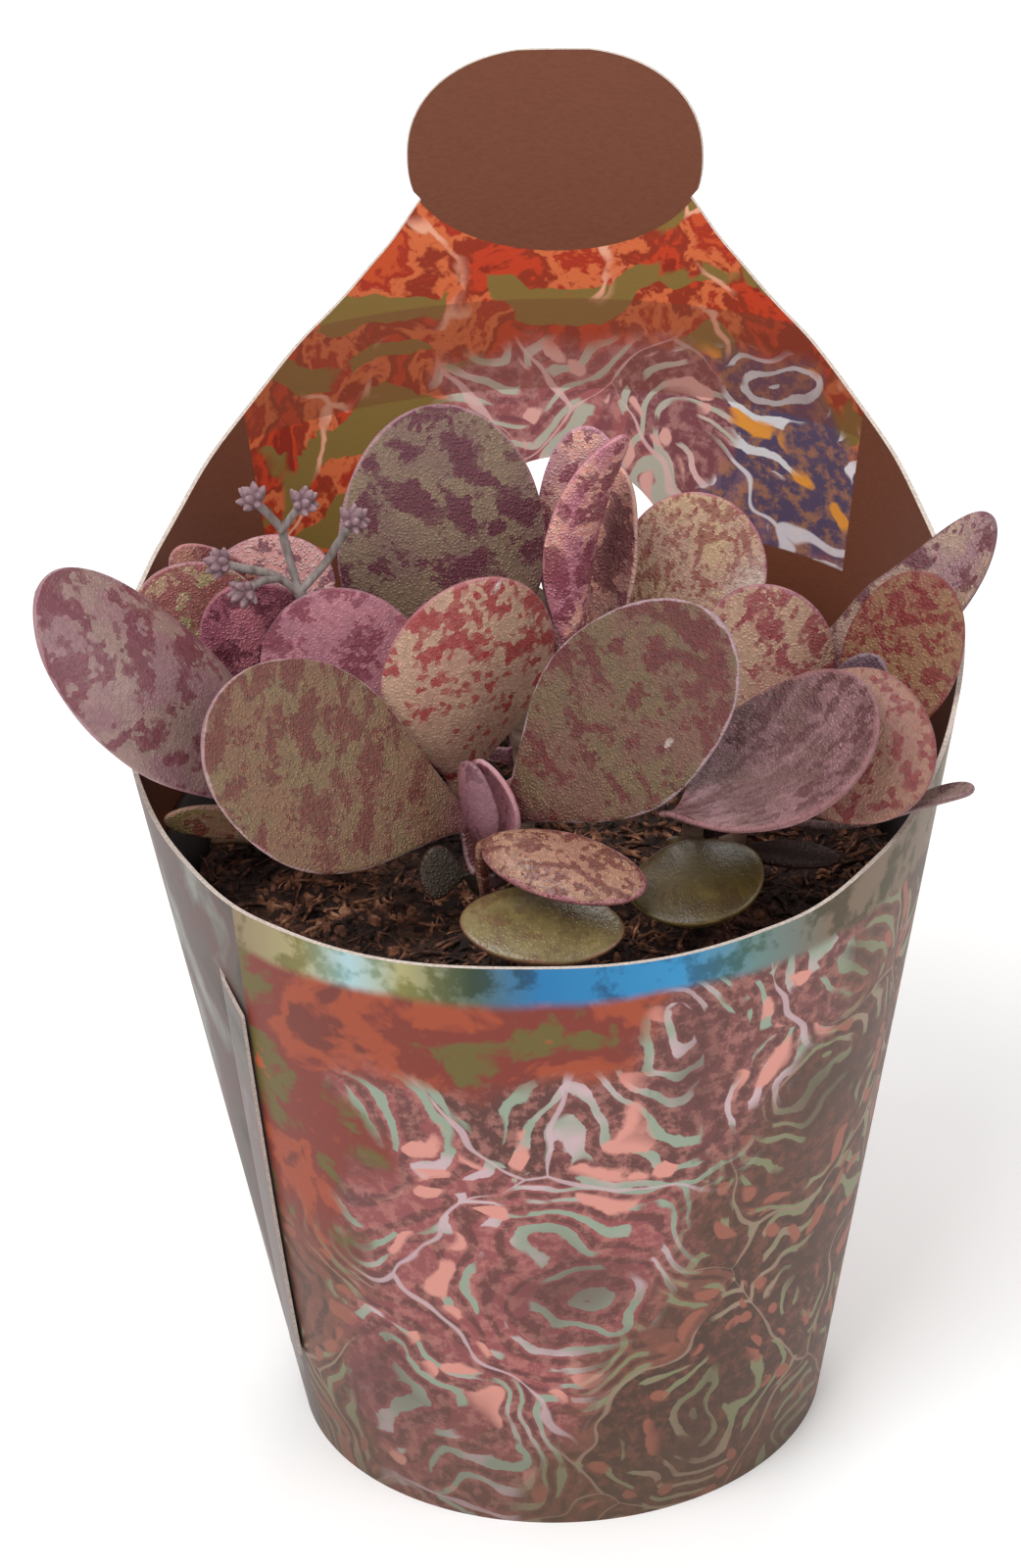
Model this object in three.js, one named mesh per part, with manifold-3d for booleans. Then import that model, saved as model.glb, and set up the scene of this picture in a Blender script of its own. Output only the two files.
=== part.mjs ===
// A succulent with spotted leaves in its nursery pot, inside a printed card cover.
// Millimetres, +Z up. The origin is the centre of the base, on the surface it stands on.
// The front is -Y and the tall back panel of the cover is at +Y.

import * as THREE from 'three';
import { mergeVertices } from 'three/addons/utils/BufferGeometryUtils.js';
import Module from 'manifold-3d';

const wasm = await Module();
wasm.setup();

// Driving dimensions of the card cover, a cone open at both ends
const CARD = 0.7;                 // thickness of the card
const BASE_RADIUS = 39.8;         // outer radius on the surface it stands on
const FLARE = 0.169;              // outward lean of the wall for each mm of height
const FRONT_HEIGHT = 104.2;       // height of the rim all along the front
const NECK_ANGLE = 17.5;          // half angle of the neck below the name plate
const NECK_HEIGHT = 167.2;
// The upper edge from the front to the neck: angle from the middle of the back, height
const EDGE = [
  [180, FRONT_HEIGHT], [146, FRONT_HEIGHT], [125, 107], [105, 113.5], [87, 123],
  [72, 127.6], [54, 137.2], [36, 149.5], [24, 159.3], [NECK_ANGLE, NECK_HEIGHT],
];
const COLUMNS = 94;               // faces round the cone outside the neck
const NECK_COLUMNS = 10;          // faces across the neck and the name plate
// The bare oval name plate at the top of the back panel
const PLATE_WIDTH = 45.4;
const PLATE_HEIGHT = 30.2;
const PLATE_MIDDLE = 173.4;
const PLATE_FULLNESS = 2.3;       // 2 is an ellipse, more is squarer
const PLATE_TIP = 0.15;           // the outline is closed this far below its very top
// The round hole in the back panel
const HOLE_RADIUS = 17.7;
const HOLE_HEIGHT = 109;
// The glued tab of the side seam, which stands slightly open at its free edge. fold and
// edge are distances along the card from the middle of the front. step is the share of
// its width in which it climbs off the wall.
const TAB = { fold: 49.5, edge: 43.8, low: 17, high: 91, corner: 85, lift: 1.1, step: 0.18 };

// Driving dimensions of the nursery pot inside the cover
const GAP = 0.3;                  // clearance between pieces that rest on each other
const PLASTIC = 0.9;
const POT_FOOT = 37.4;
const POT_HEIGHT = 95;
const RIM_BAND = 8.5;             // height of the thicker band below the lip
const BAND_PLASTIC = 1.3;
const DRAIN = { count: 6, radius: 3.4, circle: 24 };

// Driving dimensions of the soil
const SOIL_LEVEL = 87.6;
const SOIL_MOUND = 1.6;
const SOIL_ROUGHNESS = 0.7;
const SOIL_RINGS = 9;
const SOIL_SECTORS = 40;
const SOIL_SPREAD = 52;           // radius at which the mound would have run out
const SOIL_EDGE = 0.5;            // crumbs stand off the pot's wall this much more than GAP
const HOLE_DEPTH = 18;            // how deep a cutting is pushed in
const HOLE_EASE = 0.4;            // its hole is this much wider all round than GAP asks

// The rooted cuttings: where each enters the soil, its tip, and its radius there
const STEM_RADIUS = 2.3;
const STEMS = {
  front: { foot: [-7, -19, SOIL_LEVEL], tip: [-6.5, -21.5, 102.5] },
  left: { foot: [-26, 5, SOIL_LEVEL], tip: [-29, 5, 115] },
  middle: { foot: [-4, 4, SOIL_LEVEL], tip: [-2.5, 4.5, 116] },
  right: { foot: [27, 3, SOIL_LEVEL], tip: [29, 2.5, 115] },
  low_right: { foot: [21, -9, SOIL_LEVEL], tip: [22.5, -11, 110.5] },
};
const STEM_SIDES = 8;
const STEM_STEPS = 15;
const STEM_TAPER = 0.25;          // share of its radius that it loses up to the tip
const STEM_BOW = [0.6, -0.5, 0];  // how far it bows out at its middle
const SCARS = 5;                  // rings left by fallen leaves on each stem
const SCAR_RISE = 0.25;

// Every leaf: the stem and height it grows from, the root and tip of its blade, the way
// its upper face looks (degrees round from the front towards +X, degrees up), the width
// of the blade, the angle its sides curl up, how far its midrib arches up and sideways,
// and how far along its widest place is. thick is the middle thickness, taper says how
// slim the blade is near its stalk, and swing how far round the stalk comes to meet it.
const BLADE = { arch: 0, side: 0, widest: 0.58, thick: 1.7, stalk: 0.14, taper: 1.25, swing: 0.3 };
const LEAVES = [
  { name: 'leaf_left_cupped', stem: 'left', at: 97, root: [-33.5, -14, 105],
    tip: [-66, -26, 145], face: [-118, -30], width: 27.5, curl: 41, arch: -3, side: 0.5,
    widest: 0.56, color: 0x8a6767 },
  { name: 'leaf_front_left', stem: 'front', at: 98, root: [-10, -18, 105.5],
    tip: [-43, -35, 129], face: [47, 29], width: 29.6, curl: 3, arch: 1, side: 0.5, widest: 0.6,
    color: 0x775849 },
  { name: 'leaf_front_right', stem: 'front', at: 99, root: [-2.9, -22.3, 108.65],
    tip: [27.2, -27.2, 141.15], face: [-26, 14], width: 26.2, curl: 9, arch: 1, side: -1,
    widest: 0.55, color: 0x76564a },
  { name: 'leaf_middle_spotted', stem: 'middle', at: 101, root: [-11, -9, 107.5],
    tip: [-4, -8, 138.5], face: [-149, 5], width: 28.6, curl: 26, arch: -2, side: -1.5,
    widest: 0.52, color: 0x8d645a },
  { name: 'leaf_pink_left', stem: 'left', at: 103, root: [-18.5, -7, 108.5],
    tip: [-33, -4, 133.5], face: [-169, -13], width: 23.7, curl: 12, side: -0.5, widest: 0.53,
    color: 0x905e67 },
  { name: 'leaf_dark_left', stem: 'left', at: 106, root: [-32.5, 4.2, 111],
    tip: [-44.5, -0.6, 132.8], face: [3, -11], width: 19, curl: 15, side: -1, widest: 0.6,
    color: 0x663c44 },
  { name: 'leaf_olive_left', stem: 'left', at: 109, root: [-35, 10, 113], tip: [-56, 5, 132],
    face: [12, -2], width: 19.3, curl: 9, side: 1, widest: 0.65, color: 0x886257 },
  { name: 'leaf_slim_left', stem: 'left', at: 112.4, root: [-33.5, 18.5, 115.7],
    tip: [-53.5, 14, 132.5], face: [18, 4], width: 9.9, curl: 10, side: 1, widest: 0.62,
    color: 0x92645c },
  { name: 'leaf_pale_left', stem: 'left', at: 105, root: [-44, 21, 113.5], tip: [-40, 25, 130],
    face: [-12, 15], width: 19.3, curl: 9, side: -1.5, widest: 0.61, color: 0x9e7a79 },
  { name: 'leaf_tall', stem: 'middle', at: 104, root: [-15, 6, 108.5], tip: [-14, 15, 155],
    face: [14, 10], width: 30.2, curl: 8, arch: 2, widest: 0.56, color: 0x71544f },
  { name: 'leaf_folded_middle', stem: 'middle', at: 110, root: [5, 3, 118.5],
    tip: [12.6, 7, 153.5], face: [-125, 7], width: 13.1, curl: 60, arch: 2, side: -1,
    widest: 0.54, color: 0x916365 },
  { name: 'leaf_behind_folded', stem: 'middle', at: 113, root: [3, 17, 110.5],
    tip: [6.5, 22, 148.5], face: [3, 7], width: 13.5, curl: 10, side: -0.5, widest: 0.63,
    color: 0xa07977 },
  { name: 'leaf_narrow_middle', stem: 'middle', at: 107, root: [7, 12, 111.5],
    tip: [11, 16, 145], face: [-34, 9], width: 12, curl: 20, widest: 0.6, color: 0x6b4b47 },
  { name: 'leaf_back_right', stem: 'right', at: 106, root: [19.5, 15, 107], tip: [24, 27, 135.5],
    face: [1, 23], width: 21.5, curl: 8, arch: 1, side: 1, widest: 0.63, color: 0x9b7769 },
  { name: 'leaf_right_spotted', stem: 'right', at: 104, root: [30.5, -2, 108],
    tip: [38, 4, 129.5], face: [-175, -14], width: 20.7, curl: 16, side: -2.5, widest: 0.6,
    color: 0x926a5e },
  { name: 'leaf_low_purple', stem: 'low_right', at: 105.8, root: [24.8, -22.3, 121],
    tip: [37, -42, 118], face: [-42, 63], width: 36.3, curl: 39, arch: -2, side: 3, widest: 0.52,
    taper: 0.85, color: 0x775653 },
  { name: 'leaf_curl_right', stem: 'low_right', at: 100.5, root: [40.4, -15.8, 122.4],
    tip: [48.9, -16.4, 129.7], face: [162, -12], width: 6, curl: 10, widest: 0.6,
    color: 0x705453 },
  { name: 'leaf_low_spotted', stem: 'low_right', at: 108.5, root: [35.2, -17.6, 124.2],
    tip: [54.5, -30, 116], face: [169, -36], width: 22.1, curl: 12, arch: -2, widest: 0.46,
    taper: 0.75, color: 0x8c6358 },
  { name: 'leaf_right_round', stem: 'right', at: 101, root: [45.5, -7, 110], tip: [56, -4, 137],
    face: [165, -12], width: 16.8, curl: 15, widest: 0.54, taper: 0.85, color: 0x7f5143 },
  { name: 'leaf_far_right', stem: 'right', at: 111, root: [37.5, 9, 117.5], tip: [64, 10, 140],
    face: [-38, 37], width: 14.8, curl: 37, side: -5.5, widest: 0.44, color: 0x856967 },
  { name: 'leaf_rim_right', stem: 'low_right', at: 105.5, root: [48.5, -25.5, 109.8],
    tip: [61, -28.5, 115.8], face: [-116, 65], width: 6.6, curl: 20, side: 1.5, widest: 0.6,
    color: 0x755d5a },
  { name: 'young_leaf_left', stem: 'front', at: 101.2, root: [-5.4, -28.7, 107.1],
    tip: [-8.2, -25, 118.6], face: [138, -8], width: 7.7, curl: 55, arch: -1.1, side: -0.3,
    widest: 0.42, taper: 0.6, color: 0x775258 },
  { name: 'young_leaf_right', stem: 'front', at: 98.5, root: [-2.6, -26.2, 106.5],
    tip: [-7.4, -23.9, 118], face: [-38, 8], width: 7.2, curl: 46, arch: -1.3, side: -0.6,
    widest: 0.42, taper: 0.6, color: 0x7d5b5e },
  { name: 'leaf_thick_pink', stem: 'front', at: 96, root: [-5.6, -32.4, 109.4],
    tip: [16.9, -37.6, 105.6], face: [-6, 66], width: 11.4, curl: 3, arch: 1, side: -1,
    widest: 0.52, taper: 0.55, swing: 0.08, thick: 4.4, color: 0x9c7366 },
  { name: 'leaf_low_front', stem: 'front', at: 93, root: [2, -29.8, 101], tip: [2.4, -43.2, 96.4],
    face: [13, 61], width: 22.6, curl: 0, arch: 1, side: 0, widest: 0.53, taper: 0.6,
    thick: 2.6, color: 0x746448 },
  { name: 'leaf_low_right', stem: 'low_right', at: 97, root: [20.2, -22, 103.5],
    tip: [25, -35.2, 98.3], face: [0, 69], width: 19.5, curl: 4, arch: 1, side: 0.4, widest: 0.5,
    taper: 0.6, thick: 2.4, color: 0x4a3e2c },
  { name: 'leaf_shaded_right', stem: 'low_right', at: 95, root: [27.5, -16, 100],
    tip: [43, -26, 103.5], face: [-75, 73], width: 5.9, curl: 7, widest: 0.52, color: 0x2a1913 },
  { name: 'leaf_rim_left', stem: 'left', at: 92.8, root: [-36.5, -16, 101.5],
    tip: [-52, -20, 106.2], face: [7, -22], width: 7.1, curl: 4, side: -1.5, widest: 0.54,
    color: 0x7d6353 },
  { name: 'leaf_small_blue', stem: 'front', at: 97, root: [-9.4, -23.8, 99.8],
    tip: [-15.4, -26.4, 102], face: [20, 30], width: 7.5, curl: 12, widest: 0.6, color: 0x372a23 },
  { name: 'leaf_back_left', stem: 'left', at: 104, root: [-20, 18, 108], tip: [-23, 36, 125],
    face: [0, 40], width: 19, curl: 12, arch: 1, color: 0x806258 },
  { name: 'leaf_back_middle', stem: 'middle', at: 101, root: [-5, 17, 103], tip: [-7, 34, 118],
    face: [-4, 45], width: 17, curl: 12, arch: 1, color: 0x805d5b },
  { name: 'fallen_leaf', root: [-37.5, 1, 89.8], tip: [-49, 1, 91.6], face: [-90, 75], width: 5,
    curl: 45, arch: 1.2, widest: 0.5, thick: 1, color: 0x362221 },
];
const LARGE = 17;                 // a blade at least this wide is divided more finely
const BLADE_ROWS = { large: 9, small: 7 };
const LEAF_COLUMNS = { large: 6, small: 4 };
const STALK_ROWS = 3;
const LEAF_EDGE = 0.8;            // thickness of a blade at its edge
const TIP_THINNING = 0.35;        // share of its thickness that it loses up to the tip
// Where a stalk leaves the stem: half its width, the thickness of its edges, and how much
// thicker it is in the middle than the blade
const STALK = { half: 1, edge: 1, extra: 0.2 };

const radians = THREE.MathUtils.degToRad;

// Turns a closed three.js geometry into a solid for joining and cutting
function solidOf(geometry) {
  const bare = geometry.clone();
  bare.deleteAttribute('normal');
  bare.deleteAttribute('uv');
  const merged = mergeVertices(bare, 1e-5);
  return new wasm.Manifold(new wasm.Mesh({
    numProp: 3,
    vertProperties: new Float32Array(merged.attributes.position.array),
    triVerts: new Uint32Array(merged.index.array),
  }));
}

// Turns a solid back into a geometry
function geometryOf(solid) {
  const mesh = solid.getMesh();
  const geometry = new THREE.BufferGeometry();
  geometry.setAttribute('position', new THREE.Float32BufferAttribute(mesh.vertProperties, 3));
  geometry.setIndex(Array.from(mesh.triVerts));
  return geometry;
}

// Makes a geometry from a list of points and a list of triangles
function meshOf(points, triangles) {
  const geometry = new THREE.BufferGeometry();
  geometry.setAttribute('position', new THREE.Float32BufferAttribute(points.flat(), 3));
  geometry.setIndex(triangles.flat());
  return geometry;
}

// Closes a grid of upper points and the same grid of lower points into one thin body.
// Both faces are split along the same diagonals.
function sheetBetween(upper, lower) {
  const rows = upper.length;
  const columns = upper[0].length;
  const top = (row, column) => row * columns + column;
  const under = (row, column) => rows * columns + top(row, column);
  const triangles = [];
  for (let row = 0; row < rows - 1; row += 1) {
    for (let column = 0; column < columns - 1; column += 1) {
      const near = [row, column];
      const right = [row, column + 1];
      const far = [row + 1, column + 1];
      const left = [row + 1, column];
      triangles.push([top(...near), top(...right), top(...far)]);
      triangles.push([top(...near), top(...far), top(...left)]);
      triangles.push([under(...near), under(...far), under(...right)]);
      triangles.push([under(...near), under(...left), under(...far)]);
    }
  }
  const border = [];
  for (let column = 0; column < columns; column += 1) border.push([0, column]);
  for (let row = 1; row < rows; row += 1) border.push([row, columns - 1]);
  for (let column = columns - 2; column >= 0; column -= 1) border.push([rows - 1, column]);
  for (let row = rows - 2; row > 0; row -= 1) border.push([row, 0]);
  border.forEach((here, index) => {
    const next = border[(index + 1) % border.length];
    triangles.push([top(...next), top(...here), under(...here)]);
    triangles.push([top(...next), under(...here), under(...next)]);
  });
  return meshOf([...upper.flat(), ...lower.flat()], triangles);
}

// A round rod through the centres, with a radius at each, closed at both ends
function rod(centres, radii, sides) {
  const path = new THREE.CatmullRomCurve3(centres.map((point) => new THREE.Vector3(...point)));
  const steps = radii.length - 1;
  const frames = path.computeFrenetFrames(steps);
  const points = [];
  const triangles = [];
  radii.forEach((radius, step) => {
    const centre = path.getPointAt(step / steps);
    for (let side = 0; side < sides; side += 1) {
      const turn = (side / sides) * Math.PI * 2;
      const spot = centre.clone()
        .addScaledVector(frames.normals[step], radius * Math.cos(turn))
        .addScaledVector(frames.binormals[step], radius * Math.sin(turn));
      points.push(spot.toArray());
    }
  });
  const at = (step, side) => step * sides + (side % sides);
  for (let step = 0; step < steps; step += 1) {
    for (let side = 0; side < sides; side += 1) {
      triangles.push([at(step, side), at(step, side + 1), at(step + 1, side + 1)]);
      triangles.push([at(step, side), at(step + 1, side + 1), at(step + 1, side)]);
    }
  }
  for (let side = 1; side < sides - 1; side += 1) {
    triangles.push([at(0, 0), at(0, side + 1), at(0, side)]);
    triangles.push([at(steps, 0), at(steps, side), at(steps, side + 1)]);
  }
  return meshOf(points, triangles);
}

const part = new THREE.Group();

function place(name, geometry, color, roughness, metalness = 0) {
  const material = new THREE.MeshStandardMaterial({ color, roughness, metalness });
  const mesh = new THREE.Mesh(geometry, material);
  mesh.name = name;
  part.add(mesh);
}

// The card cover. Angles are measured from the middle of the back, round over -X.

const outerRadius = (height) => BASE_RADIUS + FLARE * height;

function onCone(angle, height, radius) {
  return [-radius * Math.sin(radians(angle)), radius * Math.cos(radians(angle)), height];
}

// Height of the upper edge: a smooth curve through the points of EDGE
function edgeHeight(angle) {
  const away = 180 - Math.abs(180 - angle);
  const points = [...EDGE].reverse();
  const slope = (index) => {
    const before = points[Math.max(index - 1, 0)];
    const after = points[Math.min(index + 1, points.length - 1)];
    return (after[1] - before[1]) / (after[0] - before[0]);
  };
  let index = 0;
  while (index < points.length - 2 && points[index + 1][0] < away) index += 1;
  const [from, to] = [points[index], points[index + 1]];
  const width = to[0] - from[0];
  const t = (away - from[0]) / width;
  const start = from[1] + (slope(index) * width * t);
  const end = to[1] - (slope(index + 1) * width * (1 - t));
  const ease = t * t * (3 - 2 * t);
  return start * (1 - ease) + end * ease;
}

// Half angle of the name plate at a height above the neck
function plateHalfAngle(height) {
  const offset = Math.min(Math.abs(height - PLATE_MIDDLE) / (PLATE_HEIGHT / 2), 1);
  const half = (PLATE_WIDTH / 2) * (1 - offset ** PLATE_FULLNESS) ** (1 / PLATE_FULLNESS);
  return THREE.MathUtils.radToDeg(half / outerRadius(height));
}

function cardShell() {
  const plateTop = PLATE_MIDDLE + PLATE_HEIGHT / 2;
  const plateHeights = [3, 6.5, 10, 13, 16, 18.5, 20.2, 21.1]
    .map((rise) => Math.min(NECK_HEIGHT + rise, plateTop - PLATE_TIP));
  const outer = [];
  const inner = [];
  const add = (angle, height) => {
    outer.push(onCone(angle, height, outerRadius(height)));
    inner.push(onCone(angle, height, outerRadius(height) - CARD));
    return outer.length - 1;
  };
  const columns = [];
  for (let step = 0; step <= NECK_COLUMNS; step += 1) {
    const across = (2 * step) / NECK_COLUMNS - 1;
    const column = [add(across * NECK_ANGLE, 0), add(across * NECK_ANGLE, NECK_HEIGHT)];
    plateHeights.forEach((height) => column.push(add(across * plateHalfAngle(height), height)));
    columns.push(column);
  }
  for (let step = 1; step < COLUMNS; step += 1) {
    const angle = NECK_ANGLE + ((360 - 2 * NECK_ANGLE) * step) / COLUMNS;
    columns.push([add(angle, 0), add(angle, edgeHeight(angle))]);
  }
  const count = outer.length;
  const triangles = [];
  columns.forEach((column, index) => {
    const next = columns[(index + 1) % columns.length];
    const rows = index < NECK_COLUMNS ? column.length : 2;
    for (let row = 0; row < rows - 1; row += 1) {
      const [a, b, c, d] = [column[row], next[row], next[row + 1], column[row + 1]];
      triangles.push([a, b, c], [a, c, d]);
      triangles.push([count + a, count + c, count + b], [count + a, count + d, count + c]);
    }
  });
  const foot = columns.map((column) => column[0]).reverse();
  const rim = [
    ...columns[0].slice(1).reverse(),
    ...columns.slice(1, NECK_COLUMNS).map((column) => column.at(-1)),
    ...columns[NECK_COLUMNS].slice(1).reverse(),
    ...columns.slice(NECK_COLUMNS + 1).map((column) => column[1]),
  ];
  const plateSide = columns[0].slice(1);
  rim.splice(0, plateSide.length, ...plateSide);
  [foot, rim].forEach((loop) => loop.forEach((here, index) => {
    const next = loop[(index + 1) % loop.length];
    triangles.push([here, next, count + next], [here, count + next, count + here]);
  }));
  return meshOf([...outer, ...inner], triangles);
}

// The glued tab of the side seam, a second layer that thickens towards its free edge
function seamTab() {
  const steps = [0, TAB.step, 0.4, 0.7, 1];
  const row = (up, lift, sink) => steps.map((step) => {
    const top = TAB.high - (TAB.high - TAB.corner) * step;
    const height = TAB.low + (top - TAB.low) * up;
    const away = TAB.fold + (TAB.edge - TAB.fold) * step;
    const angle = 180 - THREE.MathUtils.radToDeg(away / outerRadius(height));
    const rise = lift * (0.03 + Math.min(step / TAB.step, 1) * 0.6 + step * 0.4);
    return onCone(angle, height, outerRadius(height) + rise - sink);
  });
  const shares = [0, 0.25, 0.5, 0.75, 1];
  return sheetBetween(
    shares.map((up) => row(up, TAB.lift, 0)),
    shares.map((up) => row(up, 0, CARD / 2)),
  );
}

const hole = new THREE.CylinderGeometry(HOLE_RADIUS, HOLE_RADIUS, 30, 36);
hole.translate(0, outerRadius(HOLE_HEIGHT), HOLE_HEIGHT);
const cover = solidOf(cardShell()).add(solidOf(seamTab())).subtract(solidOf(hole));
place('card_cover', geometryOf(cover), 0x8a5540, 0.55);

// The nursery pot, one moulding: foot, wall, rim band and drain holes

const coverInside = (height) => outerRadius(height) - CARD - GAP;
const bandFoot = POT_HEIGHT - RIM_BAND;
const wallTop = coverInside(bandFoot) - BAND_PLASTIC;
const potWall = (height) => POT_FOOT + ((wallTop - POT_FOOT) * height) / bandFoot;

const potProfile = [
  [0, 0], [POT_FOOT - 1, 0], [potWall(1.2), 1.2], [wallTop, bandFoot - 0.8],
  [coverInside(bandFoot), bandFoot], [coverInside(POT_HEIGHT - 0.8), POT_HEIGHT - 0.8],
  [coverInside(POT_HEIGHT) - 0.5, POT_HEIGHT], [coverInside(POT_HEIGHT) - BAND_PLASTIC, POT_HEIGHT - 0.4],
  [coverInside(bandFoot) - BAND_PLASTIC, bandFoot + 1], [wallTop - PLASTIC, bandFoot - 0.8],
  [potWall(1.2) - PLASTIC, 2], [POT_FOOT - 2, PLASTIC], [0, PLASTIC],
];
const potShell = new THREE.LatheGeometry(potProfile.map(([x, y]) => new THREE.Vector2(x, y)), 48);
potShell.rotateX(Math.PI / 2);
let pot = solidOf(potShell);
for (let index = 0; index < DRAIN.count; index += 1) {
  const turn = ((index + 0.5) / DRAIN.count) * Math.PI * 2;
  const drain = new THREE.CylinderGeometry(DRAIN.radius, DRAIN.radius, 8, 12);
  drain.rotateX(Math.PI / 2);
  drain.translate(DRAIN.circle * Math.cos(turn), DRAIN.circle * Math.sin(turn), 0);
  pot = pot.subtract(solidOf(drain));
}
place('nursery_pot', geometryOf(pot), 0x2a2422, 0.6);

// The cuttings' stems, ringed by old leaf scars, thinner towards the tip

function stemPath({ foot, tip }) {
  const middle = foot.map((value, axis) => (value + tip[axis]) / 2 + STEM_BOW[axis]);
  return [[foot[0], foot[1], SOIL_LEVEL - HOLE_DEPTH], foot, middle, tip];
}

function stemRadius(along) {
  const scar = Math.max(0, Math.cos(along * Math.PI * 2 * SCARS)) ** 4;
  return STEM_RADIUS * (1 - STEM_TAPER * along) + SCAR_RISE * scar;
}

Object.entries(STEMS).forEach(([name, stem]) => {
  const radii = Array.from({ length: STEM_STEPS + 1 }, (_, step) => stemRadius(step / STEM_STEPS));
  radii[STEM_STEPS] *= 0.6;
  place(`stem_${name}`, rod(stemPath(stem), radii, STEM_SIDES), 0x8d7565, 0.75);
});

// The soil fills the pot. Its top is a low mound with a rough, crumbly face.

function soilHeight(x, y) {
  const out = Math.hypot(x, y) / SOIL_SPREAD;
  const crumbs = Math.sin(x * 0.61 + 1.3) * Math.cos(y * 0.53 - 0.4)
    + 0.6 * Math.sin(x * 0.29 - y * 0.37 + 2.1);
  return SOIL_LEVEL + SOIL_MOUND * (1 - out * out) + SOIL_ROUGHNESS * crumbs;
}

function soilBody() {
  const topRadius = wallTop - PLASTIC - GAP - SOIL_EDGE;
  const points = [[0, 0, soilHeight(0, 0)]];
  const triangles = [];
  const at = (ring, sector) => 1 + ring * SOIL_SECTORS + (sector % SOIL_SECTORS);
  const addRing = (radius, height) => {
    for (let sector = 0; sector < SOIL_SECTORS; sector += 1) {
      const turn = (sector / SOIL_SECTORS) * Math.PI * 2;
      const [x, y] = [radius * Math.cos(turn), radius * Math.sin(turn)];
      points.push([x, y, height ?? soilHeight(x, y)]);
    }
  };
  for (let ring = 1; ring <= SOIL_RINGS; ring += 1) addRing((topRadius * ring) / SOIL_RINGS);
  addRing(potWall(3) - PLASTIC - GAP - 0.3, PLASTIC + GAP + 1.5);
  addRing(POT_FOOT - 3.5, PLASTIC + GAP);
  const rings = SOIL_RINGS + 2;
  for (let sector = 0; sector < SOIL_SECTORS; sector += 1) {
    triangles.push([0, at(0, sector), at(0, sector + 1)]);
    for (let ring = 0; ring < rings - 1; ring += 1) {
      triangles.push([at(ring, sector), at(ring + 1, sector), at(ring + 1, sector + 1)]);
      triangles.push([at(ring, sector), at(ring + 1, sector + 1), at(ring, sector + 1)]);
    }
  }
  for (let sector = 1; sector < SOIL_SECTORS - 1; sector += 1) {
    triangles.push([at(rings - 1, 0), at(rings - 1, sector + 1), at(rings - 1, sector)]);
  }
  return meshOf(points, triangles);
}

let soil = solidOf(soilBody());
Object.values(STEMS).forEach((stem) => {
  const [x, y] = stem.foot;
  const path = stemPath(stem);
  const floor = [x, y, SOIL_LEVEL - HOLE_DEPTH - GAP];
  const above = path[2];
  const socket = rod([floor, path[1], above], Array(6).fill(STEM_RADIUS + HOLE_EASE + GAP), STEM_SIDES + 2);
  soil = soil.subtract(solidOf(socket));
});
place('soil', geometryOf(soil), 0x2b1b14, 1);

// Leaves. Each is a flat stalk that widens into one smooth, thick, egg-shaped blade.

const vector = (values) => new THREE.Vector3(...values);

function bladeOutline(along, { widest, stalk, taper }) {
  if (along >= widest) return Math.sqrt(1 - ((along - widest) / (1 - widest)) ** 2);
  return stalk + (1 - stalk) * Math.sin((Math.PI / 2) * (along / widest)) ** taper;
}

function facing([around, up]) {
  const level = Math.cos(radians(up));
  return new THREE.Vector3(
    level * Math.sin(radians(around)),
    -level * Math.cos(radians(around)),
    Math.sin(radians(up)),
  );
}

// Point on the surface of a stem at a height, on the side of the leaf that grows there
function stemSide(stem, height, towards) {
  const path = new THREE.CatmullRomCurve3(stemPath(STEMS[stem]).map(vector));
  let along = 0;
  while (along < 1 && path.getPointAt(along).z < height) along += 0.005;
  const centre = path.getPointAt(Math.min(along, 1));
  const out = towards.clone().sub(centre).setZ(0).normalize();
  const surface = stemRadius(Math.min(along, 1)) + 0.6 + GAP;
  return { point: centre.addScaledVector(out, surface), out };
}

// The stalk leaves the stem square to it and runs into the blade along the midrib
function stalkCurve(leaf, root, axis) {
  const start = stemSide(leaf.stem, leaf.at, root);
  const reach = start.point.distanceTo(root);
  return new THREE.CubicBezierCurve3(
    start.point,
    start.point.clone().addScaledVector(start.out, reach * 0.35),
    root.clone().addScaledVector(axis, -reach * leaf.swing),
    root,
  );
}

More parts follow.
